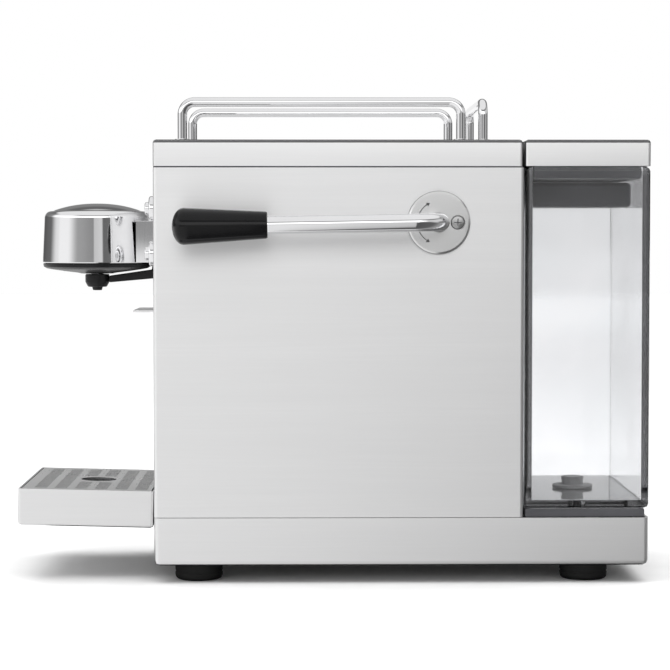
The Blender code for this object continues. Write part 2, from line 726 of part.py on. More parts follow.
def make_cam():
    """Cam plate whose curved slot moves the follower evenly with the lever's angle."""
    track = []
    for step in range(CAM_STEPS + 1):
        turn = LEVER_SWING * step / CAM_STEPS
        along = -FOLLOWER_REACH + PISTON_STROKE * step / CAM_STEPS
        across = math.cos(turn) * along + math.sin(turn) * PISTON_DROP
        up = math.sin(turn) * along - math.cos(turn) * PISTON_DROP
        track.append((across, up))
    hub = SHAFT_DIAMETER / 2 + 0.005
    rim = FOLLOWER_DIAMETER / 2 + RUNNING + CAM_RIM
    bm = bmesh.new()
    for x in (-CAM_THICKNESS / 2, CAM_THICKNESS / 2):
        for y, z in arc((0, 0), hub, 0, 2 * math.pi, 32)[:-1]:
            bm.verts.new((x, y, z))
        for centre in track[::2]:
            for y, z in arc(centre, rim, 0, 2 * math.pi, 24)[:-1]:
                bm.verts.new((x, y, z))
    bmesh.ops.convex_hull(bm, input=bm.verts)
    loose = [v for v in bm.verts if not v.link_faces]
    bmesh.ops.delete(bm, geom=loose, context="VERTS")
    bmesh.ops.dissolve_limit(bm, angle_limit=math.radians(0.5), verts=bm.verts, edges=bm.edges)
    bmesh.ops.triangulate(bm, faces=bm.faces)
    mesh = mesh_from("lever_cam", bm)
    mesh.transform(Matrix.Translation((0, PIVOT_Y, PIVOT_Z)))
    cam = link("lever_cam", mesh, material=STEEL)
    cut_round(cam, (0, PIVOT_Y, PIVOT_Z), (1, 0, 0), SHAFT_DIAMETER + 2 * GAP, 0.03)

    half = FOLLOWER_DIAMETER / 2 + RUNNING
    sides = ([], [])
    for step, point in enumerate(track):
        before = Vector(track[max(step - 1, 0)])
        after = Vector(track[min(step + 1, CAM_STEPS)])
        ahead = (after - before).normalized()
        normal = Vector((-ahead.y, ahead.x))
        sides[0].append(Vector(point) + normal * half)
        sides[1].append(Vector(point) - normal * half)
    normal_end = math.atan2(sides[0][-1].y - track[-1][1], sides[0][-1].x - track[-1][0])
    normal_start = math.atan2(sides[1][0].y - track[0][1], sides[1][0].x - track[0][0])
    cap_end = arc(track[-1], half, normal_end, normal_end - math.pi, 8)[1:-1]
    cap_start = arc(track[0], half, normal_start, normal_start - math.pi, 8)[1:-1]
    loop = [tuple(p) for p in sides[0]] + cap_end + [tuple(p) for p in reversed(sides[1])] + cap_start
    slot = outline_plate("cam_slot", loop, CAM_THICKNESS * 3, (0, PIVOT_Y, PIVOT_Z), "X")
    combine(cam, as_cutter(slot), "DIFFERENCE")
    bake(cam)
    CUTTERS.objects.unlink(slot)
    bpy.data.objects.remove(slot)
    set_pivot(cam, (0, PIVOT_Y, PIVOT_Z))


def make_escutcheon():
    place = (HALF + GAP, PIVOT_Y, PIVOT_Z)
    rim = ESCUTCHEON_DIAMETER / 2
    thick = ESCUTCHEON_THICKNESS
    bore = LEVER_ROD / 2 + RUNNING
    profile = [(bore, thick), (rim - 0.002, thick), (rim, thick - 0.0012), (rim, 0), (bore, 0)]
    disc = turned("lever_escutcheon", profile, place, (1, 0, 0), STEEL, FINE_STEPS)
    names = ("escutcheon_screw_front", "escutcheon_screw_rear")
    face = HALF + GAP + thick
    sunk = 0.0018
    for name, y in zip(names, screw_places()):
        cut_round(disc, (face, y, PIVOT_Z), (1, 0, 0), SCREW_HEAD + 2 * GAP, 2 * sunk, 24)
        cut_round(disc, (face, y, PIVOT_Z), (1, 0, 0), SCREW_SHANK + 2 * GAP, 0.02, 16)
        head = SCREW_HEAD / 2
        shank = SCREW_SHANK / 2
        under = thick - sunk + GAP
        profile = [(0, thick + 0.0004), (head - 0.001, thick + 0.0002), (head, thick - 0.0006), (head, under),
                   (shank, under), (shank, -0.006), (0, -0.006)]
        screw = turned(name, profile, (HALF + GAP, y, PIVOT_Z), (1, 0, 0), STEEL, 24)
        for across, up in ((0.0022, 0.0004), (0.0004, 0.0022)):
            low = (face - 0.0007, y - across, PIVOT_Z - up)
            cut_box(screw, low, (face + 0.002, y + across, PIVOT_Z + up))
    smooth(disc)


def make_piston():
    pod = POD_DIAMETER / 2
    stem = STEM_DIAMETER / 2
    profile = [
        (0, STEM_END), (stem, STEM_END), (stem, CUP_BACK_Y),
        (CUP_RADIUS, CUP_BACK_Y), (CUP_RADIUS, CUP_RIM_Y),
        (pod + 0.0005, CUP_RIM_Y), (pod, CUP_RIM_Y + POD_CUP_DEPTH), (0, CUP_RIM_Y + POD_CUP_DEPTH),
    ]
    piston = turned("pod_piston", profile, (0, 0, PISTON_Z), (0, 1, 0), ALUMINIUM)
    follower_y = PIVOT_Y - FOLLOWER_REACH
    eye = FOLLOWER_DIAMETER / 2 + 0.0025
    near = CAM_THICKNESS / 2 + 0.001
    far = near + CHEEK_THICKNESS
    for side in (1, -1):
        inner, outer = sorted((side * near, side * far))
        add_box(piston, (inner, STEM_END - 0.004, PISTON_Z - eye), (outer, follower_y + eye, PISTON_Z + eye))
    cut_round(piston, (0, follower_y, PISTON_Z), (1, 0, 0), FOLLOWER_DIAMETER + 2 * GAP, 4 * far, 24)
    bake(piston)
    set_pivot(piston, (0, CUP_RIM_Y, PISTON_Z))
    pin = cylinder("follower_pin", (0, follower_y, PISTON_Z), (1, 0, 0), FOLLOWER_DIAMETER / 2, 2 * far, 24)
    pin.data.materials.append(STEEL)
    set_pivot(pin, (0, follower_y, PISTON_Z))


def make_brew_frame():
    across = CHASSIS_HALF - GAP
    low = PISTON_Z - CUP_RADIUS - 0.0015
    high = PISTON_Z + CUP_RADIUS + 0.0015
    guide = box("piston_guide", (-across, GUIDE_Y, low), (across, GUIDE_Y + GUIDE_THICKNESS, high), DARK)
    cut_round(guide, (0, GUIDE_Y, PISTON_Z), (0, 1, 0), STEM_DIAMETER + 2 * RUNNING, 0.05)

    block = box("extraction_block", (-across, BLOCK_FRONT_Y, low), (across, BLOCK_BACK, high), ALUMINIUM)
    nozzle = BLOCK_FRONT_Y
    add_round(block, (0, nozzle, PISTON_Z), (0, 1, 0), OUTLET_TUBE, 2 * nozzle, 16)
    cut_round(block, (0, BLOCK_BACK, PISTON_Z), (0, 1, 0), POD_DIAMETER, 0.004)
    cut_round(block, (0, 0, PISTON_Z), (0, 1, 0), OUTLET_TUBE / 2, 0.1, 16)

    bottom = FOOT_HEIGHT + BASE_WALL + GAP
    for name, side in (("chassis_plate_right", 1), ("chassis_plate_left", -1)):
        inner, outer = sorted((side * CHASSIS_HALF, side * (CHASSIS_HALF + CHASSIS_SHEET)))
        corner = (outer, BODY_DEPTH - SHEET - 0.002, PANEL_TOP - 0.004)
        plate = box(name, (inner, 0.003, bottom), corner, STEEL)
        cut_round(plate, (inner, PIVOT_Y, PIVOT_Z), (1, 0, 0), BUSH_DIAMETER + 2 * GAP, 0.01)

    wall = 0.0012
    inside = POD_SLOT_WIDTH / 2
    chute_low = high + 0.001
    chute_high = PLATE_TOP - SHEET - GAP
    chute = box("pod_chute", (-inside - wall, POD_SLOT_FRONT - wall, chute_low),
                (inside + wall, POD_SLOT_BACK + wall, chute_high), DARK)
    cut_box(chute, (-inside, POD_SLOT_FRONT, chute_low - 0.01), (inside, POD_SLOT_BACK, chute_high + 0.01))


# ---------------------------------------------------------------- brew head


def drum_radius(height):
    """The drum narrows slightly towards its shoulder."""
    share = (height - DRUM_BOTTOM) / (DRUM_SHOULDER - DRUM_BOTTOM)
    return DRUM_RADIUS - DRUM_TAPER * share


def dome_points(inset):
    """The dome and shoulder, from the apex outward, moved in by the wall."""
    edge = drum_radius(DRUM_SHOULDER) - inset
    corner = SHOULDER_RADIUS
    base = DRUM_SHOULDER + corner * 0.75 - inset
    points = []
    for step in range(6):
        radius = (edge - corner) * step / 5
        share = 1 - (radius / (edge - corner)) ** 2
        points.append((radius, base + (DRUM_TOP - inset - base) * share))
    for angle in (60, 30, 0):
        turn = math.radians(angle)
        points.append((edge - corner + corner * math.cos(turn), base - corner * (1 - math.sin(turn)) * 0.9))
    return points


def make_brew_head():
    place = (0, DRUM_Y, 0)
    outer = dome_points(0) + [(DRUM_RADIUS, DRUM_BOTTOM)]
    inner = [(DRUM_RADIUS - DRUM_WALL, DRUM_BOTTOM)] + list(reversed(dome_points(DRUM_WALL)))
    drum = turned("head_drum", outer + inner, place, (0, 0, 1), CHROME, FINE_STEPS)
    smooth(drum)
    pipe_hole = OUTLET_TUBE + 2 * GAP
    cut_round(drum, (0, DRUM_Y + DRUM_RADIUS, PISTON_Z), (0, 1, 0), pipe_hole, 0.01, 16)

    rim = DRUM_RADIUS - 0.0003
    top = DRUM_BOTTOM - GAP
    bore = pipe_hole / 2
    profile = [(bore, top), (rim, top), (rim - 0.0005, top - 0.0018), (rim - 0.006, top - 0.0034),
               (SPOUT_DIAMETER / 2 + 0.002, DISH_BOTTOM), (bore, DISH_BOTTOM)]
    smooth(turned("head_underside", profile, place, (0, 0, 1), BLACK, FINE_STEPS))

    spout = SPOUT_DIAMETER / 2
    spout_top = DISH_BOTTOM - GAP
    step = spout_top - 0.003
    profile = [
        (bore, spout_top), (spout, spout_top), (spout, SPOUT_BOTTOM + 0.0035), (spout - 0.0012, SPOUT_BOTTOM),
        (0.003, SPOUT_BOTTOM), (0.0026, SPOUT_TIP), (0.0015, SPOUT_TIP), (0.0015, step), (bore, step),
    ]
    smooth(turned("coffee_spout", profile, place, (0, 0, 1), BLACK))

    spout_back = DRUM_Y + spout + GAP
    post = DRUM_Y + DRUM_RADIUS + 0.0005
    arm = [
        (-GAP, DRUM_BOTTOM - 0.0004), (post, DRUM_BOTTOM - 0.0004), (post, DRUM_BOTTOM - 0.0040),
        (spout_back, DISH_BOTTOM - 0.0012), (spout_back, DISH_BOTTOM - 0.0052), (-GAP, DRUM_BOTTOM - 0.009),
    ]
    outline_plate("spout_arm", arm, ARM_WIDTH, (0, 0, 0), "X", BLACK)

    neck = box("head_neck", (-NECK_WIDTH / 2, DRUM_Y + DRUM_RADIUS / 2, DRUM_BOTTOM + GAP),
               (NECK_WIDTH / 2, -GAP, NECK_TOP), CHROME)
    bite = cylinder("cut_neck_drum", (0, DRUM_Y, DRUM_SHOULDER), (0, 0, 1), DRUM_RADIUS + 2 * GAP, 0.08, 64)
    combine(neck, as_cutter(bite), "DIFFERENCE")
    cut_round(neck, (0, 0, PISTON_Z), (0, 1, 0), pipe_hole, 0.06, 16)

    pipe = [(0, -GAP, PISTON_Z), (0, DRUM_Y, PISTON_Z), (0, DRUM_Y, step + GAP)]
    smooth(rod("outlet_pipe", rounded_path(pipe, 0.006), OUTLET_TUBE - 2 * GAP, STEEL, 3))


# ---------------------------------------------------------------- controls


def make_buttons():
    for place, height in BUTTON_HEIGHTS.items():
        where = (BUTTON_X, 0, height)
        outward = (0, -1, 0)
        flange = BEZEL_DIAMETER / 2
        shank = BEZEL_SHANK / 2
        bore = CAP_DIAMETER / 2 + RUNNING
        profile = [
            (bore, BEZEL_PROUD), (flange - 0.0015, BEZEL_PROUD),
            (flange, BEZEL_PROUD - 0.0012), (flange, GAP),
            (shank, GAP), (shank, -BEZEL_DEPTH), (bore, -BEZEL_DEPTH),
        ]
        smooth(turned(f"{place}_button_bezel", profile, where, outward, CHROME))
        cap = CAP_DIAMETER / 2
        profile = [
            (0, CAP_PROUD), (cap - 0.001, CAP_PROUD - 0.0002), (cap, CAP_PROUD - 0.001),
            (cap, -BEZEL_DEPTH), (0, -BEZEL_DEPTH),
        ]
        button = turned(f"{place}_button_cap", profile, where, outward, GLOSS_BLACK, 24)
        set_pivot(smooth(button), where)
        near = BEZEL_DEPTH + BUTTON_TRAVEL + GAP
        half = SWITCH_SIZE / 2
        box(f"{place}_switch", (BUTTON_X - half, near, height - half),
            (BUTTON_X + half, near + SWITCH_SIZE, height + half), DARK, 0.001)


def make_drawer():
    half = DRAWER_WIDTH / 2
    drawer = open_box("used_pod_drawer", (-half, 0, DRAWER_BOTTOM), (half, DRAWER_DEPTH, DRAWER_TOP),
                      1, DRAWER_WALL, STEEL, 0.0015)
    bake(drawer)
    lip_top = DRAWER_TOP - GAP
    add_box(drawer, (-half + DRAWER_WALL, -DRAWER_LIP, lip_top - LIP_THICKNESS),
            (half - DRAWER_WALL, DRAWER_WALL / 2, lip_top))
    bake(drawer)
    set_pivot(drawer, (0, 0, DRAWER_BOTTOM))
    across = CHASSIS_HALF - GAP
    box("drawer_shelf", (-across, 0.003, DRAWER_BOTTOM - GAP - CHASSIS_SHEET),
        (across, DRAWER_DEPTH + 0.005, DRAWER_BOTTOM - GAP), STEEL)


# ---------------------------------------------------------------- drip tray


def hook_places():
    return (-HOOK_SPACING / 2, HOOK_SPACING / 2)


def tray_tilt():
    hinge = Vector((0, TRAY_BACK_Y, TRAY_BOTTOM))
    return Matrix.Translation(hinge) @ Matrix.Rotation(-TRAY_TILT, 4, "X") @ Matrix.Translation(-hinge)


def make_tray():
    half = TRAY_WIDTH / 2
    rim = TRAY_BOTTOM + TRAY_HEIGHT
    low = (-half, TRAY_FRONT_Y, TRAY_BOTTOM)
    tray = open_box("drip_tray", low, (half, TRAY_BACK_Y, rim), 1, TRAY_WALL, STEEL, 0.002)
    bake(tray)
    ledge_top = rim - GRATE_THICKNESS - GAP
    ledge = 0.003
    width = TRAY_WALL + ledge
    for front, back in ((TRAY_FRONT_Y, TRAY_FRONT_Y + width), (TRAY_BACK_Y - width, TRAY_BACK_Y)):
        inside = (front + TRAY_WALL / 2, back - TRAY_WALL / 2)
        add_box(tray, (-half / 2, inside[0], ledge_top - 0.002), (half / 2, inside[1], ledge_top))
    bake(tray, tray_tilt())
    for x in hook_places():
        add_box(tray, (x - HOOK_WIDTH / 2, TRAY_BACK_Y - TRAY_WALL / 2, HOOK_Z - HOOK_THICKNESS / 2),
                (x + HOOK_WIDTH / 2, HOOK_LENGTH, HOOK_Z + HOOK_THICKNESS / 2))
    bake(tray)
    set_pivot(tray, (0, TRAY_BACK_Y, TRAY_BOTTOM))


def make_grate():
    edge = TRAY_WALL + 0.0005
    half = TRAY_WIDTH / 2 - edge
    rim = TRAY_BOTTOM + TRAY_HEIGHT
    front = TRAY_FRONT_Y + edge
    back = TRAY_BACK_Y - edge
    grate = box("drip_grate", (-half, front, rim - GRATE_THICKNESS), (half, back, rim), STEEL)
    cutter_mesh = bmesh.new()
    count = int((2 * half - 2 * GRATE_SIDE_MARGIN) / SLOT_PITCH)
    keep_out = HOLE_DIAMETER / 2 + 0.003
    for band in range(GRATE_BANDS):
        middle = TRAY_FRONT_Y + GRATE_FRONT_MARGIN + GRATE_PITCH * band + GRATE_BAND / 2
        for slot in range(count):
            x = SLOT_PITCH * (slot - (count - 1) / 2)
            across = max(abs(x) - SLOT_WIDTH / 2, 0)
            along = max(abs(middle - DRUM_Y) - GRATE_BAND / 2, 0)
            near_hole = math.hypot(across, along)
            if near_hole < keep_out:
                continue
            made = bmesh.ops.create_cube(cutter_mesh, size=1.0)["verts"]
            bmesh.ops.scale(cutter_mesh, vec=(SLOT_WIDTH, GRATE_BAND, 0.01), verts=made)
            bmesh.ops.translate(cutter_mesh, vec=(x, middle, rim), verts=made)
    cutter = as_cutter(link("cut_grate_slots", mesh_from("cut_grate_slots", cutter_mesh)))
    combine(grate, cutter, "DIFFERENCE")
    cut_round(grate, (0, DRUM_Y, rim), (0, 0, 1), HOLE_DIAMETER, 0.02, 24)
    bake(grate, tray_tilt())
    set_pivot(grate, (0, DRUM_Y, rim))


# ---------------------------------------------------------------- water and power inside


def make_water_works():
    pump_z = PUMP_Z
    body = PUMP_DIAMETER / 2
    port = HOSE_DIAMETER / 2
    rear = BODY_DEPTH - 0.0115
    profile = [
        (0, rear), (port, rear), (port, rear - 0.006), (body * 0.6, rear - 0.006), (body * 0.6, rear - 0.016),
        (body, rear - 0.016), (body, PUMP_FRONT + 0.012), (body * 0.5, PUMP_FRONT + 0.012),
        (body * 0.5, PUMP_FRONT + 0.005), (port, PUMP_FRONT + 0.005), (port, PUMP_FRONT), (0, PUMP_FRONT),
    ]
    turned("water_pump", profile, (0, 0, pump_z), (0, 1, 0), DARK)

    across = CHASSIS_HALF - 0.0025
    bottom = pump_z + body + 0.012
    box("thermoblock", (-across, HEATER_FRONT, bottom), (across, HEATER_REAR, bottom + HEATER_HEIGHT),
        ALUMINIUM, 0.002)
    dock_bottom = BASE_TOP + GAP + SEAT_HEIGHT - 0.001 - 0.012
    low = FOOT_HEIGHT + BASE_WALL + HOSE_DIAMETER
    up = rear + HOSE_DIAMETER * 0.75
    supply = [(0, TANK_MIDDLE, dock_bottom - GAP), (0, TANK_MIDDLE, low), (0, up, low), (0, up, pump_z),
              (0, rear + GAP, pump_z)]
    smooth(rod("supply_hose", rounded_path(supply, HOSE_DIAMETER * 0.7, 3), HOSE_DIAMETER, CLEAR_HOSE, 2))
    forward = PUMP_FRONT - HOSE_DIAMETER
    feed = [(0, PUMP_FRONT - GAP, pump_z), (0, forward, pump_z), (0, forward, bottom + HEATER_HEIGHT / 2),
            (0, HEATER_FRONT - GAP, bottom + HEATER_HEIGHT / 2)]
    smooth(rod("heater_feed_hose", rounded_path(feed, HOSE_DIAMETER * 0.6, 3), HOSE_DIAMETER, CLEAR_HOSE, 2))
    side = STEM_DIAMETER / 2 + 0.010
    height = PISTON_Z - STEM_DIAMETER / 2 - 0.004
    hot = [(side, (HEATER_FRONT + HEATER_REAR) / 2, bottom + HEATER_HEIGHT + GAP),
           (side, (HEATER_FRONT + HEATER_REAR) / 2, height), (side, GUIDE_Y + GUIDE_THICKNESS + GAP, height)]
    smooth(rod("hot_water_hose", rounded_path(hot, HOSE_DIAMETER, 3), HOSE_DIAMETER, CLEAR_HOSE, 2))

    board_x = -(CHASSIS_HALF + CHASSIS_SHEET + GAP)
    board = box("control_board", (board_x - 0.010, 0.030, 0.075), (board_x - 0.0084, 0.120, 0.150), BOARD)
    parts = ((0.045, 0.090, 0.018, 0.014), (0.080, 0.095, 0.014, 0.020), (0.100, 0.130, 0.012, 0.012))
    for y, z, long, tall in parts:
        add_box(board, (board_x - 0.022, y, z), (board_x - 0.009, y + long, z + tall))
    for y in (0.034, 0.112):
        for z in (0.079, 0.142):
            add_box(board, (board_x - 0.009, y, z), (board_x, y + 0.004, z + 0.004))
    bake(board)


def place_machine():
    """One empty carries every piece, so that the origin is under the box's middle."""
    frame = bpy.data.objects.new("machine_frame", None)
    PARTS.objects.link(frame)
    middle_x = (RIGHT_END - HALF) / 2
    middle_y = (TANK_REAR + INLET_PROUD + TRAY_FRONT_Y + TRAY_LEAN) / 2
    frame.location = (-middle_x, -middle_y, 0)
    for obj in list(PARTS.objects) + list(CUTTERS.objects):
        if obj is not frame:
            obj.parent = frame


clear_scene()
PARTS = new_collection("pod_coffee_machine")
CUTTERS = new_collection("cutters")
STEEL = new_material("satin_steel", (0.62, 0.62, 0.63), 0.28, 1.0)
CHROME = new_material("chrome", (0.80, 0.80, 0.81), 0.05, 1.0)
ALUMINIUM = new_material("aluminium", (0.60, 0.60, 0.61), 0.40, 1.0)
BLACK = new_material("black_plastic", (0.015, 0.015, 0.016), 0.35)
GLOSS_BLACK = new_material("gloss_black_plastic", (0.010, 0.010, 0.011), 0.12)
DARK = new_material("dark_plastic", (0.05, 0.05, 0.055), 0.45)
RUBBER = new_material("black_rubber", (0.02, 0.02, 0.02), 0.75)
CLEAR = new_material("clear_plastic", (0.85, 0.88, 0.90), 0.05, alpha=0.3)
CLEAR_HOSE = new_material("silicone_hose", (0.70, 0.70, 0.68), 0.35, alpha=0.8)
BOARD = new_material("circuit_board", (0.03, 0.12, 0.06), 0.5)

make_base()
make_inlet()
make_side_panels()
make_front_panel()
make_cup_plate()
make_rails()
make_tank()
make_valve()
make_lever()
make_cam()
make_escutcheon()
make_piston()
make_brew_frame()
make_brew_head()
make_buttons()
make_drawer()
make_tray()
make_grate()
make_water_works()
place_machine()
bpy.context.view_layer.update()
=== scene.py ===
"""Looks of the lever pod coffee machine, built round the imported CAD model."""

import json
import math

import bmesh
import bpy
from mathutils import Matrix, Vector

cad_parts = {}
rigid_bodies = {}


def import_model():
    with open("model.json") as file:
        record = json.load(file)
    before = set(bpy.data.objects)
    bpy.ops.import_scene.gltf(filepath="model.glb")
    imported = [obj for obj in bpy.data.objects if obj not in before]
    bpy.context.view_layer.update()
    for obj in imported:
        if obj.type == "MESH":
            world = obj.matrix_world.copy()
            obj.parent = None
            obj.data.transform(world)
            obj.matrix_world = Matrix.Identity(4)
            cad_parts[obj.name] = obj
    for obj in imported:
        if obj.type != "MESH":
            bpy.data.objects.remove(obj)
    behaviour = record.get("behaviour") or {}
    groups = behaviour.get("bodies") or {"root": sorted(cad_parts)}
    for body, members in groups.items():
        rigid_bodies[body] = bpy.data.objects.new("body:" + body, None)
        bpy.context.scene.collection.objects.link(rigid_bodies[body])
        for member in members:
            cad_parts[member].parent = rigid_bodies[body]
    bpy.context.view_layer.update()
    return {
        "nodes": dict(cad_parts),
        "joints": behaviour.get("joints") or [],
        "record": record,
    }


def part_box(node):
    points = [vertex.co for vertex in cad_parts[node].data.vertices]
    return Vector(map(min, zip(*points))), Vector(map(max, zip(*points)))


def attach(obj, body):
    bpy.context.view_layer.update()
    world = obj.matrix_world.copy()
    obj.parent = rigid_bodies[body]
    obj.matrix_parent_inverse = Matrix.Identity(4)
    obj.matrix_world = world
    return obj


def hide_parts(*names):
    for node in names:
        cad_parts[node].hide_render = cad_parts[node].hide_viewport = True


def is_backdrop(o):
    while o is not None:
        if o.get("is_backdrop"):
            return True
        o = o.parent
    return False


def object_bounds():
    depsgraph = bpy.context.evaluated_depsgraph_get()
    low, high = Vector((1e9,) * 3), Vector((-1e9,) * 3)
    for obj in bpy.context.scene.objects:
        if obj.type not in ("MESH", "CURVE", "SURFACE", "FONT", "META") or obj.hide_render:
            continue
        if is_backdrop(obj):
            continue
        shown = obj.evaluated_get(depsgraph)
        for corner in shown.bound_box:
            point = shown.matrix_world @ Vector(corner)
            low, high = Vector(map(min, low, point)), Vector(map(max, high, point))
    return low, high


for start in list(bpy.data.objects):
    bpy.data.objects.remove(start)

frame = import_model()
NODES = frame["nodes"]

BODY_OF = {}
for body_name, members in frame["record"]["behaviour"]["bodies"].items():
    for member in members:
        BODY_OF[member] = body_name
SLOT_OF = {part["node"]: part["material_slot"] for part in frame["record"]["subparts"]}


# Lengths are in metres. A skin stays this far inside the solid that it stands for.
INSET = 0.00005
THIN_INSET = 0.00002


def box_of(node):
    low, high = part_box(node)
    return Vector(low), Vector(high)


def middle_of(node):
    low, high = box_of(node)
    return (low + high) / 2


# ---------------------------------------------------------------- material tools


class Nodes:
    """Short calls for building one material's node tree."""

    def __init__(self, name):
        self.material = bpy.data.materials.new(name)
        self.material.use_nodes = True
        self.tree = self.material.node_tree
        self.shader = self.tree.nodes["Principled BSDF"]
        self.coords = self.tree.nodes.new("ShaderNodeTexCoord").outputs["Object"]

    def add(self, kind, **inputs):
        node = self.tree.nodes.new(kind)
        for name, value in inputs.items():
            socket = node.inputs[name.replace("_", " ")]
            if hasattr(value, "is_linked"):
                self.tree.links.new(value, socket)
            else:
                socket.default_value = value
        return node

    def stretched(self, scale):
        return self.add("ShaderNodeMapping", Vector=self.coords, Scale=scale).outputs["Vector"]

    def noise(self, scale, detail=4.0, stretch=(1, 1, 1), roughness=0.55):
        vector = self.stretched(stretch)
        node = self.add("ShaderNodeTexNoise", Vector=vector, Scale=scale, Detail=detail, Roughness=roughness)
        return node.outputs["Fac"]

    def span(self, value, low, high, source=(0.3, 0.7)):
        """Map a noise value from its usual spread to a range."""
        node = self.add("ShaderNodeMapRange", Value=value)
        node.inputs["From Min"].default_value = source[0]
        node.inputs["From Max"].default_value = source[1]
        node.inputs["To Min"].default_value = low
        node.inputs["To Max"].default_value = high
        return node.outputs["Result"]

    def mix(self, factor, first, second):
        node = self.tree.nodes.new("ShaderNodeMix")
        node.data_type = "RGBA"
        for socket, value in (("Factor_Float", factor), ("A_Color", first), ("B_Color", second)):
            place = next(item for item in node.inputs if item.identifier == socket)
            if hasattr(value, "is_linked"):
                self.tree.links.new(value, place)
            elif socket == "Factor_Float":
                place.default_value = value
            else:
                place.default_value = (*value, 1.0)
        return next(item for item in node.outputs if item.identifier == "Result_Color")

    def sum_of(self, first, second, operation="ADD"):
        node = self.tree.nodes.new("ShaderNodeMath")
        node.operation = operation
        for socket, value in zip(node.inputs, (first, second)):
            if hasattr(value, "is_linked"):
                self.tree.links.new(value, socket)
            else:
                socket.default_value = value
        return node.outputs["Value"]

    def bump(self, height, strength, distance):
        node = self.add("ShaderNodeBump", Height=height, Strength=strength, Distance=distance)
        return node.outputs["Normal"]

    def set(self, **inputs):
        for name, value in inputs.items():
            socket = self.shader.inputs[name.replace("_", " ")]
            if hasattr(value, "is_linked"):
                self.tree.links.new(value, socket)
            elif isinstance(value, tuple) and len(value) == 3 and socket.type == "RGBA":
                socket.default_value = (*value, 1.0)
            else:
                socket.default_value = value


def edge_wear(nodes, width=0.0006):
    """A mask that is high along edges, from the bevelled normal against the true one."""
    bevel = nodes.add("ShaderNodeBevel", Radius=width)
    flat = nodes.tree.nodes.new("ShaderNodeNewGeometry")
    dot = nodes.tree.nodes.new("ShaderNodeVectorMath")
    dot.operation = "DOT_PRODUCT"
    nodes.tree.links.new(bevel.outputs["Normal"], dot.inputs[0])
    nodes.tree.links.new(flat.outputs["Normal"], dot.inputs[1])
    return nodes.span(dot.outputs["Value"], 1.0, 0.0, (0.75, 0.99))


def brushed_steel(name, tint, roughness, grain, anisotropy=0.0, turn=0.25):
    """Satin steel: long grain lines, cloudy wiping marks and brighter edges."""
    nodes = Nodes(name)
    lines = nodes.noise(900.0, 3.0, grain)
    broad = nodes.noise(150.0, 2.0, grain)
    smudge = nodes.noise(14.0, 5.0)
    prints = nodes.noise(60.0, 6.0, roughness=0.65)
    worn = edge_wear(nodes)
    dark = tuple(channel * 0.985 for channel in tint)
    light = tuple(min(channel * 1.01, 1.0) for channel in tint)
    streaks = nodes.span(nodes.sum_of(lines, broad, "MULTIPLY"), 0.0, 1.0, (0.12, 0.42))
    color = nodes.mix(streaks, dark, light)
    color = nodes.mix(worn, color, (0.86, 0.86, 0.86))
    wiped = nodes.span(smudge, roughness * 0.97, roughness * 1.03)
    rough = nodes.sum_of(wiped, nodes.span(prints, -0.004, 0.006))
    rough = nodes.sum_of(rough, nodes.span(lines, -0.006, 0.006))
    normal = nodes.bump(lines, 0.03, 0.000004)
    nodes.set(Base_Color=color, Roughness=rough, Metallic=1.0, Normal=normal)
    nodes.set(Anisotropic=anisotropy, Anisotropic_Rotation=turn)
    return nodes.material


def polished(name, tint, roughness):
    """Chrome: almost a mirror, with faint haze, wiping marks and hairline scratches."""
    nodes = Nodes(name)
    haze = nodes.noise(30.0, 6.0)
    hair = nodes.noise(1400.0, 2.0, (1.0, 1.0, 0.04))
    worn = edge_wear(nodes, 0.0004)
    color = nodes.mix(nodes.span(haze, 0.0, 1.0), tuple(c * 0.97 for c in tint), tint)
    color = nodes.mix(worn, color, (0.92, 0.92, 0.92))
    rough = nodes.sum_of(nodes.span(haze, roughness * 0.6, roughness * 1.6), nodes.span(hair, 0.0, 0.015))
    nodes.set(Base_Color=color, Roughness=rough, Metallic=1.0, Normal=nodes.bump(hair, 0.03, 0.00001))
    return nodes.material


def moulded(name, tint, worn_tint, roughness, grain_size, depth, specular=0.3):
    """Moulded plastic or rubber: spark-eroded grain, dust in it, rubbed edges."""
    nodes = Nodes(name)
    grain = nodes.noise(grain_size, 4.0)
    dust = nodes.noise(25.0, 6.0)
    worn = nodes.sum_of(edge_wear(nodes), 0.6, "MULTIPLY")
    color = nodes.mix(nodes.span(dust, 0.0, 0.5), tint, worn_tint)
    color = nodes.mix(worn, color, worn_tint)
    rough = nodes.sum_of(nodes.span(dust, roughness * 0.85, roughness * 1.15), nodes.span(grain, -0.02, 0.03))
    nodes.set(Base_Color=color, Roughness=rough, Normal=nodes.bump(grain, 0.25, depth))
    nodes.set(Specular_IOR_Level=specular)
    return nodes.material


def clear_tank_material():
    nodes = Nodes("tank_clear")
    haze = nodes.noise(18.0, 6.0)
    flow = nodes.noise(9.0, 2.0, (1.0, 1.0, 0.25))
    worn = edge_wear(nodes, 0.0010)
    color = nodes.mix(nodes.span(haze, 0.0, 1.0), (0.93, 0.94, 0.95), (0.98, 0.98, 0.99))
    color = nodes.mix(worn, color, (0.80, 0.81, 0.83))
    nodes.set(
        Base_Color=color,
        Roughness=nodes.span(haze, 0.02, 0.07),
        IOR=1.49,
        Transmission_Weight=1.0,
        Normal=nodes.bump(flow, 0.02, 0.0002),
    )
    depth = nodes.add("ShaderNodeVolumeAbsorption", Color=(0.3, 0.3, 0.31, 1.0), Density=20.0)
    output = nodes.tree.nodes["Material Output"]
    nodes.tree.links.new(depth.outputs["Volume"], output.inputs["Volume"])
    return nodes.material


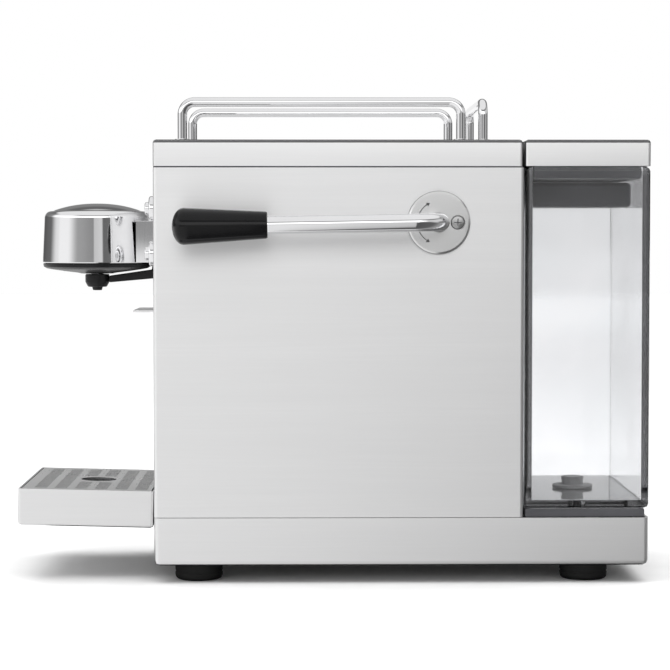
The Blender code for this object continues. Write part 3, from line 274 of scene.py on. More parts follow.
STEEL_X = brushed_steel("satin_steel_side", (0.84, 0.84, 0.842), 0.34, (1.0, 0.02, 1.0), 0.6)
STEEL_FRONT = brushed_steel("satin_steel_front", (0.84, 0.84, 0.842), 0.34, (0.02, 1.0, 1.0), 0.6)
STEEL_TOP = brushed_steel("satin_steel_top", (0.84, 0.84, 0.842), 0.32, (1.0, 0.02, 1.0), 0.5)
STEEL_TRAY = brushed_steel("satin_steel_tray", (0.84, 0.84, 0.842), 0.34, (1.0, 0.02, 1.0), 0.5)
STEEL_GRATE = brushed_steel("satin_steel_grate", (0.80, 0.80, 0.80), 0.28, (0.03, 1.0, 1.0), 0.2)
# Near-black metal for painted shade along folded edges, in slots and in recesses.
PAINTED_SHADE_METAL = brushed_steel("painted_shade_metal", (0.16, 0.16, 0.165), 0.45, (1.0, 1.0, 0.1))
STEEL_DISC = brushed_steel("satin_steel_disc", (0.72, 0.72, 0.72), 0.25, (1.0, 1.0, 0.05), 0.2)
STEEL_INSIDE = brushed_steel("mill_steel", (0.55, 0.55, 0.56), 0.42, (1.0, 0.1, 1.0))
CHROME = polished("chrome_plating", (0.86, 0.86, 0.87), 0.035)
ALUMINIUM = brushed_steel("cast_aluminium", (0.66, 0.66, 0.67), 0.48, (1.0, 1.0, 1.0))
BLACK = moulded("black_moulding", (0.009, 0.009, 0.010), (0.025, 0.025, 0.025), 0.34, 1500.0, 0.00003, 0.2)
GLOSS = moulded("gloss_black_grip", (0.004, 0.004, 0.0045), (0.012, 0.012, 0.012), 0.10, 260.0, 0.000005, 0.2)
DARK = moulded("dark_moulding", (0.045, 0.046, 0.050), (0.10, 0.10, 0.11), 0.45, 1300.0, 0.00005)
RUBBER = moulded("foot_rubber", (0.008, 0.008, 0.008), (0.03, 0.03, 0.029), 0.72, 800.0, 0.00006, 0.15)
VALVE = moulded("valve_grey", (0.22, 0.22, 0.225), (0.30, 0.30, 0.30), 0.45, 1300.0, 0.00004)
SCREW = brushed_steel("screw_steel", (0.42, 0.42, 0.42), 0.32, (1.0, 1.0, 1.0))
CLEAR = clear_tank_material()
HOSE = moulded("silicone_tube", (0.62, 0.62, 0.60), (0.70, 0.70, 0.68), 0.38, 500.0, 0.00003)
BOARD = moulded("board_green", (0.02, 0.10, 0.045), (0.10, 0.16, 0.09), 0.42, 900.0, 0.00005)
MARK = moulded("engraved_mark", (0.05, 0.05, 0.05), (0.12, 0.12, 0.12), 0.45, 900.0, 0.00002)


# ---------------------------------------------------------------- shape tools


def finish_piece(piece, node, material, angle=35):
    """Shade a piece, give it its material, and attach it to the body that its CAD node moves with."""
    if piece.name not in bpy.context.scene.collection.objects:
        bpy.context.scene.collection.objects.link(piece)
    piece.data.materials.clear()
    piece.data.materials.append(material)
    piece.data.shade_smooth()
    piece.data.set_sharp_from_angle(angle=math.radians(angle))
    weigh = piece.modifiers.new("flat_faces_stay_flat", "WEIGHTED_NORMAL")
    weigh.keep_sharp = True
    weigh.weight = 100
    apply_modifiers(piece)
    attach(piece, BODY_OF[node])
    return piece


def standing_for(piece, node, material, angle=35):
    finish_piece(piece, node, material, angle)
    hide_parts(node)
    return piece


def apply_modifiers(piece):
    bpy.context.view_layer.update()
    graph = bpy.context.evaluated_depsgraph_get()
    mesh = bpy.data.meshes.new_from_object(piece.evaluated_get(graph))
    piece.modifiers.clear()
    piece.data = mesh
    return piece


def new_piece(name, bm):
    bmesh.ops.recalc_face_normals(bm, faces=bm.faces)
    mesh = bpy.data.meshes.new(name)
    bm.to_mesh(mesh)
    bm.free()
    piece = bpy.data.objects.new(name, mesh)
    bpy.context.scene.collection.objects.link(piece)
    return piece


def round_edges(piece, width, segments=2, angle=32):
    bevel = piece.modifiers.new("edge", "BEVEL")
    bevel.width = width
    bevel.segments = segments
    bevel.limit_method = "ANGLE"
    bevel.angle_limit = math.radians(angle)
    bevel.use_clamp_overlap = True
    return apply_modifiers(piece)


def refined(node, material, width=0.0003, segments=2, angle=32):
    """A CAD piece redrawn with its edges broken, as folded or moulded edges are."""
    bm = bmesh.new()
    bm.from_mesh(NODES[node].data)
    bmesh.ops.remove_doubles(bm, verts=bm.verts, dist=0.00002)
    bmesh.ops.dissolve_limit(bm, angle_limit=math.radians(0.8), verts=bm.verts, edges=bm.edges)
    piece = new_piece(node + "_skin", bm)
    round_edges(piece, width, segments, angle)
    return standing_for(piece, node, material)


def turned(name, profile, centre, axis=(0, 0, 1), steps=96):
    """Spin (radius, height) points about an axis; points on the axis become poles."""
    bm = bmesh.new()
    rings = []
    for radius, height in profile:
        if radius < 1e-7:
            rings.append([bm.verts.new((0, 0, height))])
            continue
        ring = []
        for step in range(steps):
            angle = 2 * math.pi * step / steps
            ring.append(bm.verts.new((radius * math.cos(angle), radius * math.sin(angle), height)))
        rings.append(ring)
    pairs = list(zip(rings, rings[1:]))
    if len(rings[0]) > 1 and len(rings[-1]) > 1:
        pairs.append((rings[-1], rings[0]))
    for upper, lower in pairs:
        for step in range(steps):
            after = (step + 1) % steps
            if len(upper) == 1:
                bm.faces.new((upper[0], lower[step], lower[after]))
            elif len(lower) == 1:
                bm.faces.new((upper[step], lower[0], upper[after]))
            else:
                bm.faces.new((upper[step], lower[step], lower[after], upper[after]))
    turn = Vector((0, 0, 1)).rotation_difference(Vector(axis)).to_matrix().to_4x4()
    bmesh.ops.transform(bm, matrix=Matrix.Translation(centre) @ turn, verts=bm.verts)
    return new_piece(name, bm)


def fillet(corner, radius, start, end, steps=6):
    """Points of an arc about a centre, from one angle in degrees to another."""
    points = []
    for step in range(steps + 1):
        angle = math.radians(start + (end - start) * step / steps)
        points.append((corner[0] + radius * math.cos(angle), corner[1] + radius * math.sin(angle)))
    return points


def rounded_path(points, radius, steps=16):
    path = [Vector(points[0])]
    for before, corner, after in zip(points, points[1:], points[2:]):
        before, corner, after = Vector(before), Vector(corner), Vector(after)
        back = (before - corner).normalized()
        ahead = (after - corner).normalized()
        half = back.angle(ahead) / 2
        reach = radius / math.tan(half)
        centre = corner + (back + ahead).normalized() * radius / math.sin(half)
        start = (corner + back * reach - centre).normalized()
        end = (corner + ahead * reach - centre).normalized()
        for step in range(steps + 1):
            path.append(centre + start.slerp(end, step / steps) * radius)
    path.append(Vector(points[-1]))
    return path


def swept_rod(name, points, diameter, sides=40):
    """Round rod along a path, swept with a frame that doesn't twist, ends chamfered."""
    radius = diameter / 2
    chamfer = radius * 0.15
    bm = bmesh.new()
    tangents = []
    for index in range(len(points)):
        before = points[max(index - 1, 0)]
        after = points[min(index + 1, len(points) - 1)]
        tangents.append((after - before).normalized())
    side = tangents[0].orthogonal().normalized()
    rings = []
    stations = [(points[0], tangents[0], radius - chamfer)]
    stations.append((points[0] + tangents[0] * chamfer, tangents[0], radius))
    stations += [(p, t, radius) for p, t in zip(points[1:-1], tangents[1:-1])]
    stations.append((points[-1] - tangents[-1] * chamfer, tangents[-1], radius))
    stations.append((points[-1], tangents[-1], radius - chamfer))
    for place, tangent, size in stations:
        side = (side - tangent * side.dot(tangent)).normalized()
        other = tangent.cross(side)
        ring = []
        for step in range(sides):
            angle = 2 * math.pi * step / sides
            ring.append(bm.verts.new(place + (side * math.cos(angle) + other * math.sin(angle)) * size))
        rings.append(ring)
    for here, there in zip(rings, rings[1:]):
        for step in range(sides):
            after = (step + 1) % sides
            bm.faces.new((here[step], there[step], there[after], here[after]))
    bm.faces.new(rings[0])
    bm.faces.new(reversed(rings[-1]))
    return new_piece(name, bm)


def box_piece(name, low, high, rounding=0.0, segments=3):
    bm = bmesh.new()
    bmesh.ops.create_cube(bm, size=1.0)
    low, high = Vector(low), Vector(high)
    bmesh.ops.scale(bm, vec=high - low, verts=bm.verts)
    bmesh.ops.translate(bm, vec=(low + high) / 2, verts=bm.verts)
    if rounding:
        bmesh.ops.bevel(bm, geom=list(bm.edges), offset=rounding, segments=segments,
                        profile=0.5, affect="EDGES")
    return new_piece(name, bm)


def cut(piece, cutter):
    step = piece.modifiers.new("cut", "BOOLEAN")
    step.operation = "DIFFERENCE"
    step.object = cutter
    step.solver = "EXACT"
    apply_modifiers(piece)
    bpy.data.objects.remove(cutter)
    return piece


# ---------------------------------------------------------------- casing


def paint_shade(piece, is_dark):
    """Give the faces that a test picks a dull, dark metal: painted shade along folded edges, in slots and in
    recesses.
    """
    piece.data.materials.append(PAINTED_SHADE_METAL)
    for face in piece.data.polygons:
        if is_dark(face):
            face.material_index = 1


def is_top_fold(face):
    normal = face.normal
    return normal.z > FOLD_SLOPE and max(abs(normal.x), abs(normal.y)) > FOLD_SLOPE


def lower_top(piece, drop):
    """Drop a panel's top edge, so that the seam above it is as wide as on the real machine."""
    top = max(vertex.co.z for vertex in piece.data.vertices)
    for vertex in piece.data.vertices:
        if vertex.co.z > top - TOP_EDGE:
            vertex.co.z -= drop


SEAM_DROP = 0.0005
# Set-back, gap and wall of the dark strip of painted shadow in the seam under the top plate.
SHADOW_STRIP_SETBACK = 0.0003
SHADOW_STRIP_GAP = 0.00001
SHADOW_STRIP_WALL = 0.004
FOLD_SLOPE = 0.2
TOP_EDGE = 0.002


def make_casing():
    refined("base_pan", STEEL_X, 0.0004)
    lower_top(refined("side_panel_right", STEEL_X, 0.0003), SEAM_DROP)
    lower_top(refined("side_panel_left", STEEL_X, 0.0003), SEAM_DROP)
    refined("front_panel", STEEL_FRONT, 0.00025)
    refined("rear_bulkhead", STEEL_FRONT, 0.0003)
    # Painted shade: the sloped faces along the top folds of the cup plate and tank lid get the dark metal, a
    # dark line along those edges.
    paint_shade(refined("cup_plate", STEEL_TOP, 0.00035), is_top_fold)
    paint_shade(refined("tank_lid", STEEL_TOP, 0.00025), is_top_fold)
    refined("power_inlet", BLACK, 0.0004)
    refined("tank_seat", DARK, 0.0006)
    refined("tank_lid_liner", DARK, 0.0004)
    refined("pod_chute", DARK, 0.0002)
    refined("used_pod_drawer", STEEL_FRONT, 0.0003)
    refined("head_neck", CHROME, 0.0008, 4)
    refined("spout_arm", BLACK, 0.0007, 3)


def make_seam_shadow_strip():
    """Painted shadow: a dark strip in the shadow gap between the casing's panels and its top plate, standing
    for the shade in that gap.
    """
    plate_low, plate_high = box_of("cup_plate")
    top = box_of("side_panel_right")[1].z
    low = (plate_low.x + SHADOW_STRIP_SETBACK, plate_low.y + SHADOW_STRIP_SETBACK, top - SEAM_DROP + SHADOW_STRIP_GAP)
    high = (plate_high.x - SHADOW_STRIP_SETBACK, plate_high.y - SHADOW_STRIP_SETBACK, plate_low.z - SHADOW_STRIP_GAP)
    shadow_strip = box_piece("seam_shadow_strip", low, high)
    hollow = box_piece("hollow", (low[0] + SHADOW_STRIP_WALL, low[1] + SHADOW_STRIP_WALL, low[2] - SHADOW_STRIP_WALL),
                       (high[0] - SHADOW_STRIP_WALL, high[1] - SHADOW_STRIP_WALL, high[2] + SHADOW_STRIP_WALL))
    finish_piece(cut(shadow_strip, hollow), "tank_seat", DARK)


FOOT_ROUNDING = 0.0028
FOOT_BORE = 0.0035
FOOT_RECESS = 0.0022


def make_feet():
    names = ("foot_front_left", "foot_front_right", "foot_rear_left", "foot_rear_right")
    for name in names:
        low, high = box_of(name)
        centre = ((low.x + high.x) / 2, (low.y + high.y) / 2, 0)
        radius = (high.x - low.x) / 2 - 2 * INSET
        top = high.z
        profile = [(0, top), (radius - 0.0004, top), (radius, top - 0.0004)]
        profile += [(radius, top * 0.55), (radius - 0.0003, top * 0.5), (radius - 0.0003, top * 0.44),
                    (radius, top * 0.40)]
        profile += fillet((radius - FOOT_ROUNDING, FOOT_ROUNDING), FOOT_ROUNDING, 0, -90, 6)
        profile += [(FOOT_BORE + 0.0008, 0), (FOOT_BORE, 0.0005), (FOOT_BORE, FOOT_RECESS), (0, FOOT_RECESS)]
        standing_for(turned(name + "_tread", profile, centre, steps=64), name, RUBBER)


RAIL_CORNER = 0.007
COLLAR_GAP = 0.0002
COLLAR_REACH = 0.0016
COLLAR_TOP = 0.0009


def make_collars(rail, half, feet):
    """A thin ring round each leg of a rail, where it enters the cup plate."""
    plate = box_of("cup_plate")[1].z
    ring = [(half + COLLAR_REACH, plate + INSET), (half + 0.0014, plate + 0.0007),
            (half + COLLAR_GAP, plate + COLLAR_TOP), (half + COLLAR_GAP, plate + INSET)]
    for number, foot in enumerate(feet):
        collar = turned(f"{rail}_collar_{number}", ring, (foot[0], foot[1], 0), steps=48)
        finish_piece(collar, "rail_right", CHROME)


def make_rails():
    for name in ("rail_right", "rail_left", "rail_rear"):
        low, high = box_of(name)
        size = high - low
        wire = min(size.x, size.y)
        half = wire / 2
        top = high.z - half
        if size.y > size.x:
            middle = (low.x + high.x) / 2
            corners = [(middle, low.y + half, low.z), (middle, low.y + half, top),
                       (middle, high.y - half, top), (middle, high.y - half, low.z)]
        else:
            middle = (low.y + high.y) / 2
            corners = [(low.x + half, middle, low.z), (low.x + half, middle, top),
                       (high.x - half, middle, top), (high.x - half, middle, low.z)]
        piece = swept_rod(name + "_wire", rounded_path(corners, RAIL_CORNER), wire - INSET)
        standing_for(piece, name, CHROME)
        make_collars(name, half, (corners[0], corners[3]))


# ---------------------------------------------------------------- tank


PLATE_MARGIN = 0.003
DOCK_CLEARANCE = 0.001
CUTTER_DEPTH = 0.01
BAR_ROUNDING = 0.0025


def plug(radius, depth):
    """Profile of a cylinder that reaches the same depth above and below its middle."""
    return [(0, depth), (radius, depth), (radius, -depth), (0, -depth)]


def make_tank():
    tank = refined("water_tank", CLEAR, 0.0004)
    tank.visible_shadow = False
    low, high = box_of("tank_carry_bar")
    bar = box_piece("carry_bar_moulding", low, high, BAR_ROUNDING, 4)
    standing_for(bar, "tank_carry_bar", DARK)
    seat_low, seat_high = box_of("tank_seat")
    floor_low = box_of("water_tank")[0].z
    margin = PLATE_MARGIN
    dock = box_of("water_dock")
    hole = (dock[1].x - dock[0].x) / 2 + DOCK_CLEARANCE
    plate = box_piece("seat_plate", (seat_low.x + margin, seat_low.y + margin, seat_high.z + THIN_INSET),
                      (seat_high.x - margin, seat_high.y - margin, floor_low - INSET))
    spot = middle_of("water_dock")
    cut(plate, turned("plate_hole", plug(hole, CUTTER_DEPTH), (spot.x, spot.y, seat_high.z), steps=64))
    finish_piece(plate, "rail_right", STEEL_TRAY)
    refined("tank_valve_cage", VALVE, 0.0002)
    refined("tank_valve_plunger", VALVE, 0.0002)
    refined("water_dock", DARK, 0.0002)


# ---------------------------------------------------------------- brew head


DRUM_WALL_HEIGHT = 0.0275
DRUM_TAPER = 0.0012
DRUM_CORNER = 0.0042
DRUM_SKIN = 0.0013
DOME_LIFT = 0.0032
DOME_POWER = 2.2
OUTLET_HOLE = 0.0043


def make_drum():
    low, high = box_of("head_drum")
    centre = ((low.x + high.x) / 2, (low.y + high.y) / 2, 0)
    radius = (high.x - low.x) / 2 - INSET
    shoulder = low.z + DRUM_WALL_HEIGHT
    narrow = radius - DRUM_TAPER
    edge = narrow - DRUM_CORNER
    rise = high.z - shoulder - DOME_LIFT
    dome = []
    count = 22
    for step in range(count + 1):
        spot = edge * step / count
        dome.append((spot, shoulder + DOME_LIFT + rise * (1 - (spot / edge) ** DOME_POWER) - INSET))
    shoulder_points = []
    for step in range(1, 11):
        turn = math.radians(90 - 9 * step)
        across = edge + DRUM_CORNER * math.cos(turn) ** 0.9 if step < 10 else narrow
        shoulder_points.append((across, shoulder + DOME_LIFT - DRUM_CORNER * (1 - math.sin(turn))))
    start = shoulder - 0.0015
    wall = [(narrow + (radius - narrow) * share, start - (start - low.z - 0.0006) * share)
            for share in (0.1, 0.35, 0.65, 1.0)]
    rim = [(radius - 0.0002, low.z + 0.0001), (radius - 0.0006, low.z), (radius - DRUM_SKIN, low.z + 0.0002)]
    inside = [(narrow - DRUM_SKIN, shoulder - 0.002), (edge, shoulder + DOME_LIFT - DRUM_SKIN),
              (0, high.z - DRUM_SKIN)]
    profile = dome + shoulder_points + wall + rim + inside
    standing_for(turned("head_drum_shell", profile, centre, steps=160), "head_drum", CHROME, 50)
    # A black disc inside the drum, from just below its lower rim to 3 mm above it.
    black_disc_radius = radius - 0.0018
    black_disc_profile = [(0, low.z + 0.003), (black_disc_radius, low.z + 0.003), (black_disc_radius, low.z - 0.0002),
                    (0, low.z - 0.0002)]
    finish_piece(turned("drum_black_disc", black_disc_profile, centre, steps=96), "head_underside", BLACK)
    return centre


def make_underside(centre):
    low, high = box_of("head_underside")
    radius = (high.x - low.x) / 2 - 2 * INSET
    profile = [(OUTLET_HOLE, high.z), (radius - 0.0004, high.z), (radius, high.z - 0.0004)]
    profile += [(radius - 0.0004, high.z - 0.0020), (radius - 0.0022, high.z - 0.0030),
                (radius - 0.006, high.z - 0.0037), (radius - 0.013, high.z - 0.0047),
                (radius - 0.021, high.z - 0.0057), (0.0095, low.z + 0.0001), (OUTLET_HOLE, low.z + 0.0001)]
    dish = turned("head_underside_dish", profile, centre, steps=128)
    standing_for(dish, "head_underside", BLACK, 40)


def make_spout(centre):
    low, high = box_of("coffee_spout")
    radius = (high.x - low.x) / 2
    tip = low.z
    profile = [(OUTLET_HOLE, high.z), (radius - 0.0005, high.z), (radius, high.z - 0.0005)]
    profile += [(radius, tip + 0.0052), (radius - 0.0004, tip + 0.0042), (radius - 0.0014, tip + 0.0024),
                (radius - 0.002, tip + 0.0020), (0.0032, tip + 0.0020), (0.0028, tip + 0.0004), (0.0025, tip),
                (0.0016, tip), (0.0014, tip + 0.0005), (0.0014, high.z - 0.003),
                (OUTLET_HOLE, high.z - 0.0028)]
    spout = turned("coffee_spout_moulding", profile, centre, steps=64)
    standing_for(spout, "coffee_spout", BLACK, 40)


def make_brew_head():
    centre = make_drum()
    make_underside(centre)
    make_spout(centre)


BEZEL_SHANK = 0.0054
BEZEL_ROUNDING = 0.0014
CAP_PLAY = 0.00035
CAP_ROUNDING = 0.0009


def make_buttons():
    for place in ("upper", "lower"):
        bezel = place + "_button_bezel"
        low, high = box_of(bezel)
        centre = ((low.x + high.x) / 2, 0, (low.z + high.z) / 2)
        radius = (high.x - low.x) / 2 - INSET
        face = -low.y
        back = -high.y
        cap_low, cap_high = box_of(place + "_button_cap")
        cap = (cap_high.x - cap_low.x) / 2 - 0.00003
        bore = cap + CAP_PLAY
        lip = -box_of("front_panel")[0].y + 0.0003
        profile = [(bore, face - 0.0004), (bore + 0.0003, face), (radius - 0.0018, face)]
        profile += fillet((radius - BEZEL_ROUNDING, face - BEZEL_ROUNDING), BEZEL_ROUNDING, 80, 0, 5)
        profile += [(radius, lip), (BEZEL_SHANK, lip), (BEZEL_SHANK, back), (bore, back)]
        standing_for(turned(bezel + "_ring", profile, centre, (0, -1, 0), 72), bezel, CHROME, 40)
        tip = -cap_low.y
        rear = -cap_high.y
        profile = [(0, tip - 0.0003), (cap * 0.6, tip - 0.0002)]
        profile += fillet((cap - CAP_ROUNDING, tip - 0.0010), CAP_ROUNDING, 75, 0, 5)
        profile += [(cap, rear), (0, rear)]
        name = place + "_button_cap"
        knob = turned(name + "_moulding", profile, centre, (0, -1, 0), 64)
        standing_for(knob, name, CHROME, 40)


# ---------------------------------------------------------------- lever


ROD_DIAMETER = 0.010
ROD_BEND = 0.015
GRIP_LENGTH = 0.0527
GRIP_THIN = 0.0075
GRIP_THICK = 0.01022
GRIP_DOME = 0.0062
GRIP_BORE_DEPTH = 0.030


def lever_pivot():
    joint = next(item for item in frame["joints"] if item["name"] == "lever_pivot")
    return Vector(joint["pos_m"])


def make_lever():
    """The bent rod and its grip, drawn level and then turned down to where the lever rests."""
    pivot = lever_pivot()
    low, high = box_of("lever_rod")
    elbow_x = high.x - ROD_DIAMETER / 2
    grip_low, grip_high = box_of("lever_grip")
    grip_z = (grip_low.z + grip_high.z) / 2
    grip_y = (grip_low.y + grip_high.y) / 2
    droop = math.atan2(pivot.z - grip_z, pivot.y - grip_y)
    turn = Matrix.Translation(pivot) @ Matrix.Rotation(droop, 4, "X") @ Matrix.Translation(-pivot)
    reach = (pivot.y - low.y) / math.cos(droop) - 0.0006
    corners = [(low.x, pivot.y, pivot.z), (elbow_x, pivot.y, pivot.z), (elbow_x, pivot.y - reach, pivot.z)]
    rod = swept_rod("lever_rod_bar", rounded_path(corners, ROD_BEND, 24), ROD_DIAMETER - INSET, 56)
    rod.data.transform(turn)
    standing_for(rod, "lever_rod", CHROME)

    far = (pivot.y - grip_low.y) / math.cos(droop) - 0.0002
    start = pivot.y - far + GRIP_LENGTH
    bore = ROD_DIAMETER / 2 + 0.0002
    taper = [(GRIP_THIN + (GRIP_THICK - GRIP_THIN) * share, 0.001 + (GRIP_LENGTH - 0.0075) * share)
             for share in (1.0, 0.93, 0.8, 0.6, 0.4, 0.2, 0.0)]
    dome = []
    for step in range(9):
        angle = math.radians(10 * step)
        along = GRIP_LENGTH - GRIP_DOME + 0.0061 * math.cos(angle)
        dome.append((math.sin(angle) * (GRIP_THICK - 0.0001), along))
    mouth = [(GRIP_THIN - 0.0004, 0.0001), (GRIP_THIN - 0.0012, 0), (bore, 0.0006)]
    socket = [(bore, GRIP_BORE_DEPTH), (0, GRIP_BORE_DEPTH)]
    profile = dome + taper + mouth + socket
    grip = turned("lever_grip_moulding", profile, (elbow_x, start, pivot.z), (0, -1, 0), 96)
    grip.data.transform(turn)
    standing_for(grip, "lever_grip", GLOSS, 50)


ARROW_WIDTH = 0.0005
ARROW_SPREAD = 0.0013
ARROW_RAISE = 0.00006
ARROW_TIP = 0.16


def arrow_ribbon(name, centre, radius, start, end, node):
    """A curved arrow laid on the disc as a thin dark ribbon: an arc that ends in a triangle."""
    bm = bmesh.new()
    steps = 14
    turn = math.radians(end - start)
    inner, outer = [], []
    for step in range(steps + 1):
        angle = math.radians(start) + turn * step / steps
        for row, size in ((inner, radius - ARROW_WIDTH / 2), (outer, radius + ARROW_WIDTH / 2)):
            row.append(bm.verts.new((0, size * math.cos(angle), size * math.sin(angle))))
    for step in range(steps):
        bm.faces.new((inner[step], outer[step], outer[step + 1], inner[step + 1]))
    tip_angle = math.radians(end) + math.copysign(ARROW_TIP, turn)
    end_angle = math.radians(end) + math.copysign(0.001, turn)
    head = [bm.verts.new((0, size * math.cos(end_angle), size * math.sin(end_angle)))
            for size in (radius - ARROW_SPREAD, radius + ARROW_SPREAD)]
    tip = bm.verts.new((0, radius * math.cos(tip_angle), radius * math.sin(tip_angle)))
    bm.faces.new((head[0], head[1], tip))
    extruded = bmesh.ops.extrude_face_region(bm, geom=list(bm.faces))
    moved = [item for item in extruded["geom"] if isinstance(item, bmesh.types.BMVert)]
    bmesh.ops.translate(bm, vec=(ARROW_RAISE, 0, 0), verts=moved)
    bmesh.ops.translate(bm, vec=centre, verts=bm.verts)
    piece = new_piece(name, bm)
    return finish_piece(piece, node, MARK)


DISC_BORE = 0.0054
SINK_RADIUS = 0.0043
SINK_DEPTH = 0.0018
HEAD_DEPTH = 0.0015
SHANK_RADIUS = 0.0015
CROSS_REACH = 0.0023
CROSS_HALF_WIDTH = 0.00045
CROSS_DEPTH = 0.0008
ARROW_RING = 0.68


def make_escutcheon_screw(node, disc, disc_face):
    """Sink a seat for the screw into the disc, and put a cross-slotted head in it."""
    spot = middle_of(node)
    well = [(0, 0.001), (SINK_RADIUS, 0.001), (SINK_RADIUS, -SINK_DEPTH), (0, -SINK_DEPTH)]
    cut(disc, turned("sink", well, (disc_face, spot.y, spot.z), (1, 0, 0), 48))
    low, high = box_of(node)
    head = (high.z - low.z) / 2 - 0.0001
    top = high.x
    base = disc_face - HEAD_DEPTH
    profile = [(0, top), (head * 0.5, top - 0.00008), (head * 0.85, top - 0.0003), (head, top - 0.0008),
               (head, base), (SHANK_RADIUS, base), (SHANK_RADIUS, low.x), (0, low.x)]
    screw = turned(node + "_head", profile, (0, spot.y, spot.z), (1, 0, 0), 48)
    slot_floor = top - CROSS_DEPTH
    for across, up in ((CROSS_REACH, CROSS_HALF_WIDTH), (CROSS_HALF_WIDTH, CROSS_REACH)):
        slot = box_piece("slot", (slot_floor, spot.y - across, spot.z - up),
                         (top + 0.001, spot.y + across, spot.z + up))
        cut(screw, slot)
    standing_for(screw, node, SCREW, 30)
    # Painted shade: the sides of the head and the walls and floors of the cross slots get the dark metal.
    paint_shade(screw, lambda face: abs(face.normal.x) < 0.3 or abs(face.center.x - slot_floor) < INSET)


def make_escutcheon():
    node = "lever_escutcheon"
    low, high = box_of(node)
    centre = Vector((0, (low.y + high.y) / 2, (low.z + high.z) / 2))
    radius = (high.y - low.y) / 2 - INSET
    profile = [(DISC_BORE, high.x - 0.0003), (DISC_BORE + 0.0003, high.x), (radius - 0.0012, high.x)]
    profile += [(radius - 0.0010, high.x - 0.0001), (radius - 0.0002, high.x - 0.0007),
                (radius, high.x - 0.0011), (radius, low.x + 0.0002), (radius - 0.0002, low.x),
                (DISC_BORE, low.x)]
    disc = turned("escutcheon_disc", profile, centre, (1, 0, 0), 128)
    for screw in ("escutcheon_screw_front", "escutcheon_screw_rear"):
        make_escutcheon_screw(screw, disc, high.x)
    standing_for(disc, node, STEEL_DISC, 30)
    # Painted shade: the disc's side faces, round its rim, its bore and the screw seats, get the dark metal.
    paint_shade(disc, lambda face: abs(face.normal.x) < 0.5)
    mark = Vector((high.x, centre.y, centre.z))
    ring = radius * ARROW_RING
    arrow_ribbon("open_arrow", mark, ring, 160, 124, node)
    arrow_ribbon("close_arrow", mark, ring, -160, -124, node)


# ---------------------------------------------------------------- tray and grate


TRAY_TILT = math.radians(1.4)
GRATE_SHEET = 0.001
GRATE_ROWS = 6
ROW_PITCH = 0.0116
ROW_DEPTH = 0.0074
FIRST_ROW = 0.0064
SLOT_WIDTH = 0.0024
SLOT_PITCH = 0.0045
SIDE_MARGIN = 0.007
HOLE_RADIUS = 0.0105
HOLE_MARGIN = 0.0035
CUTTER_HEIGHT = 0.006


def grate_cutters(width, centre_x):
    """Rows of slots and the round hole in the middle, as one mesh to cut with."""
    bm = bmesh.new()
    columns = int((width - 2 * SIDE_MARGIN) / SLOT_PITCH)
    middle_rows = (GRATE_ROWS // 2 - 1, GRATE_ROWS // 2)
    for row in range(GRATE_ROWS):
        start = FIRST_ROW + ROW_PITCH * row
        for column in range(columns + 1):
            x = centre_x + (column - columns / 2) * SLOT_PITCH
            if row in middle_rows and abs(x - centre_x) < HOLE_RADIUS + HOLE_MARGIN:
                continue
            made = bmesh.ops.create_cube(bm, size=1.0)["verts"]
            bmesh.ops.scale(bm, vec=(SLOT_WIDTH, ROW_DEPTH, CUTTER_HEIGHT), verts=made)
            bmesh.ops.translate(bm, vec=(x, start + ROW_DEPTH / 2, 0), verts=made)
    centre_y = FIRST_ROW + ROW_PITCH * (GRATE_ROWS - 1) / 2 + ROW_DEPTH / 2
    bmesh.ops.create_cone(bm, cap_ends=True, segments=64, radius1=HOLE_RADIUS, radius2=HOLE_RADIUS,
                          depth=CUTTER_HEIGHT, matrix=Matrix.Translation((centre_x, centre_y, 0)))
    return new_piece("grate_cutters", bm)


def make_tray():
    refined("drip_tray", STEEL_TRAY, 0.00035)
    node = "drip_grate"
    low, high = box_of(node)
    length = (high.y - low.y) / math.cos(TRAY_TILT) - 0.0005
    plate = box_piece("grate_sheet", (low.x + 0.0001, 0, -GRATE_SHEET), (high.x - 0.0001, length, 0))
    cut(plate, grate_cutters(high.x - low.x, (low.x + high.x) / 2))
    place = Matrix.Translation((0, low.y + 0.0002, high.z - INSET))
    plate.data.transform(place @ Matrix.Rotation(-TRAY_TILT, 4, "X"))
    standing_for(plate, node, STEEL_GRATE)
    # Painted shade: the slot walls and the sheet's edges get the dark metal, so the rows of slots look dark.
    paint_shade(plate, lambda face: abs(face.normal.z) < 0.5)


# ---------------------------------------------------------------- CAD pieces shown as they are

CARRIED = {
    "satin_steel": STEEL_INSIDE,
    "chrome": CHROME,
    "aluminium": ALUMINIUM,
    "black_plastic": BLACK,
    "gloss_black": GLOSS,
    "dark_plastic": DARK,
    "rubber": RUBBER,
    "clear_plastic": CLEAR,
    "silicone_hose": HOSE,
    "circuit_board": BOARD,
}


def dress_carried_nodes():
    for name, node in NODES.items():
        material = CARRIED[SLOT_OF[name]]
        for slot in node.material_slots:
            slot.link = "OBJECT"
            slot.material = material


# ---------------------------------------------------------------- floor, light and camera


FLOOR_HALF = 6.0
FLOOR_GLOW = 0.46
GLOW_FROM_TO = (-0.9, -4.0)
CARD_MARGIN = 0.01


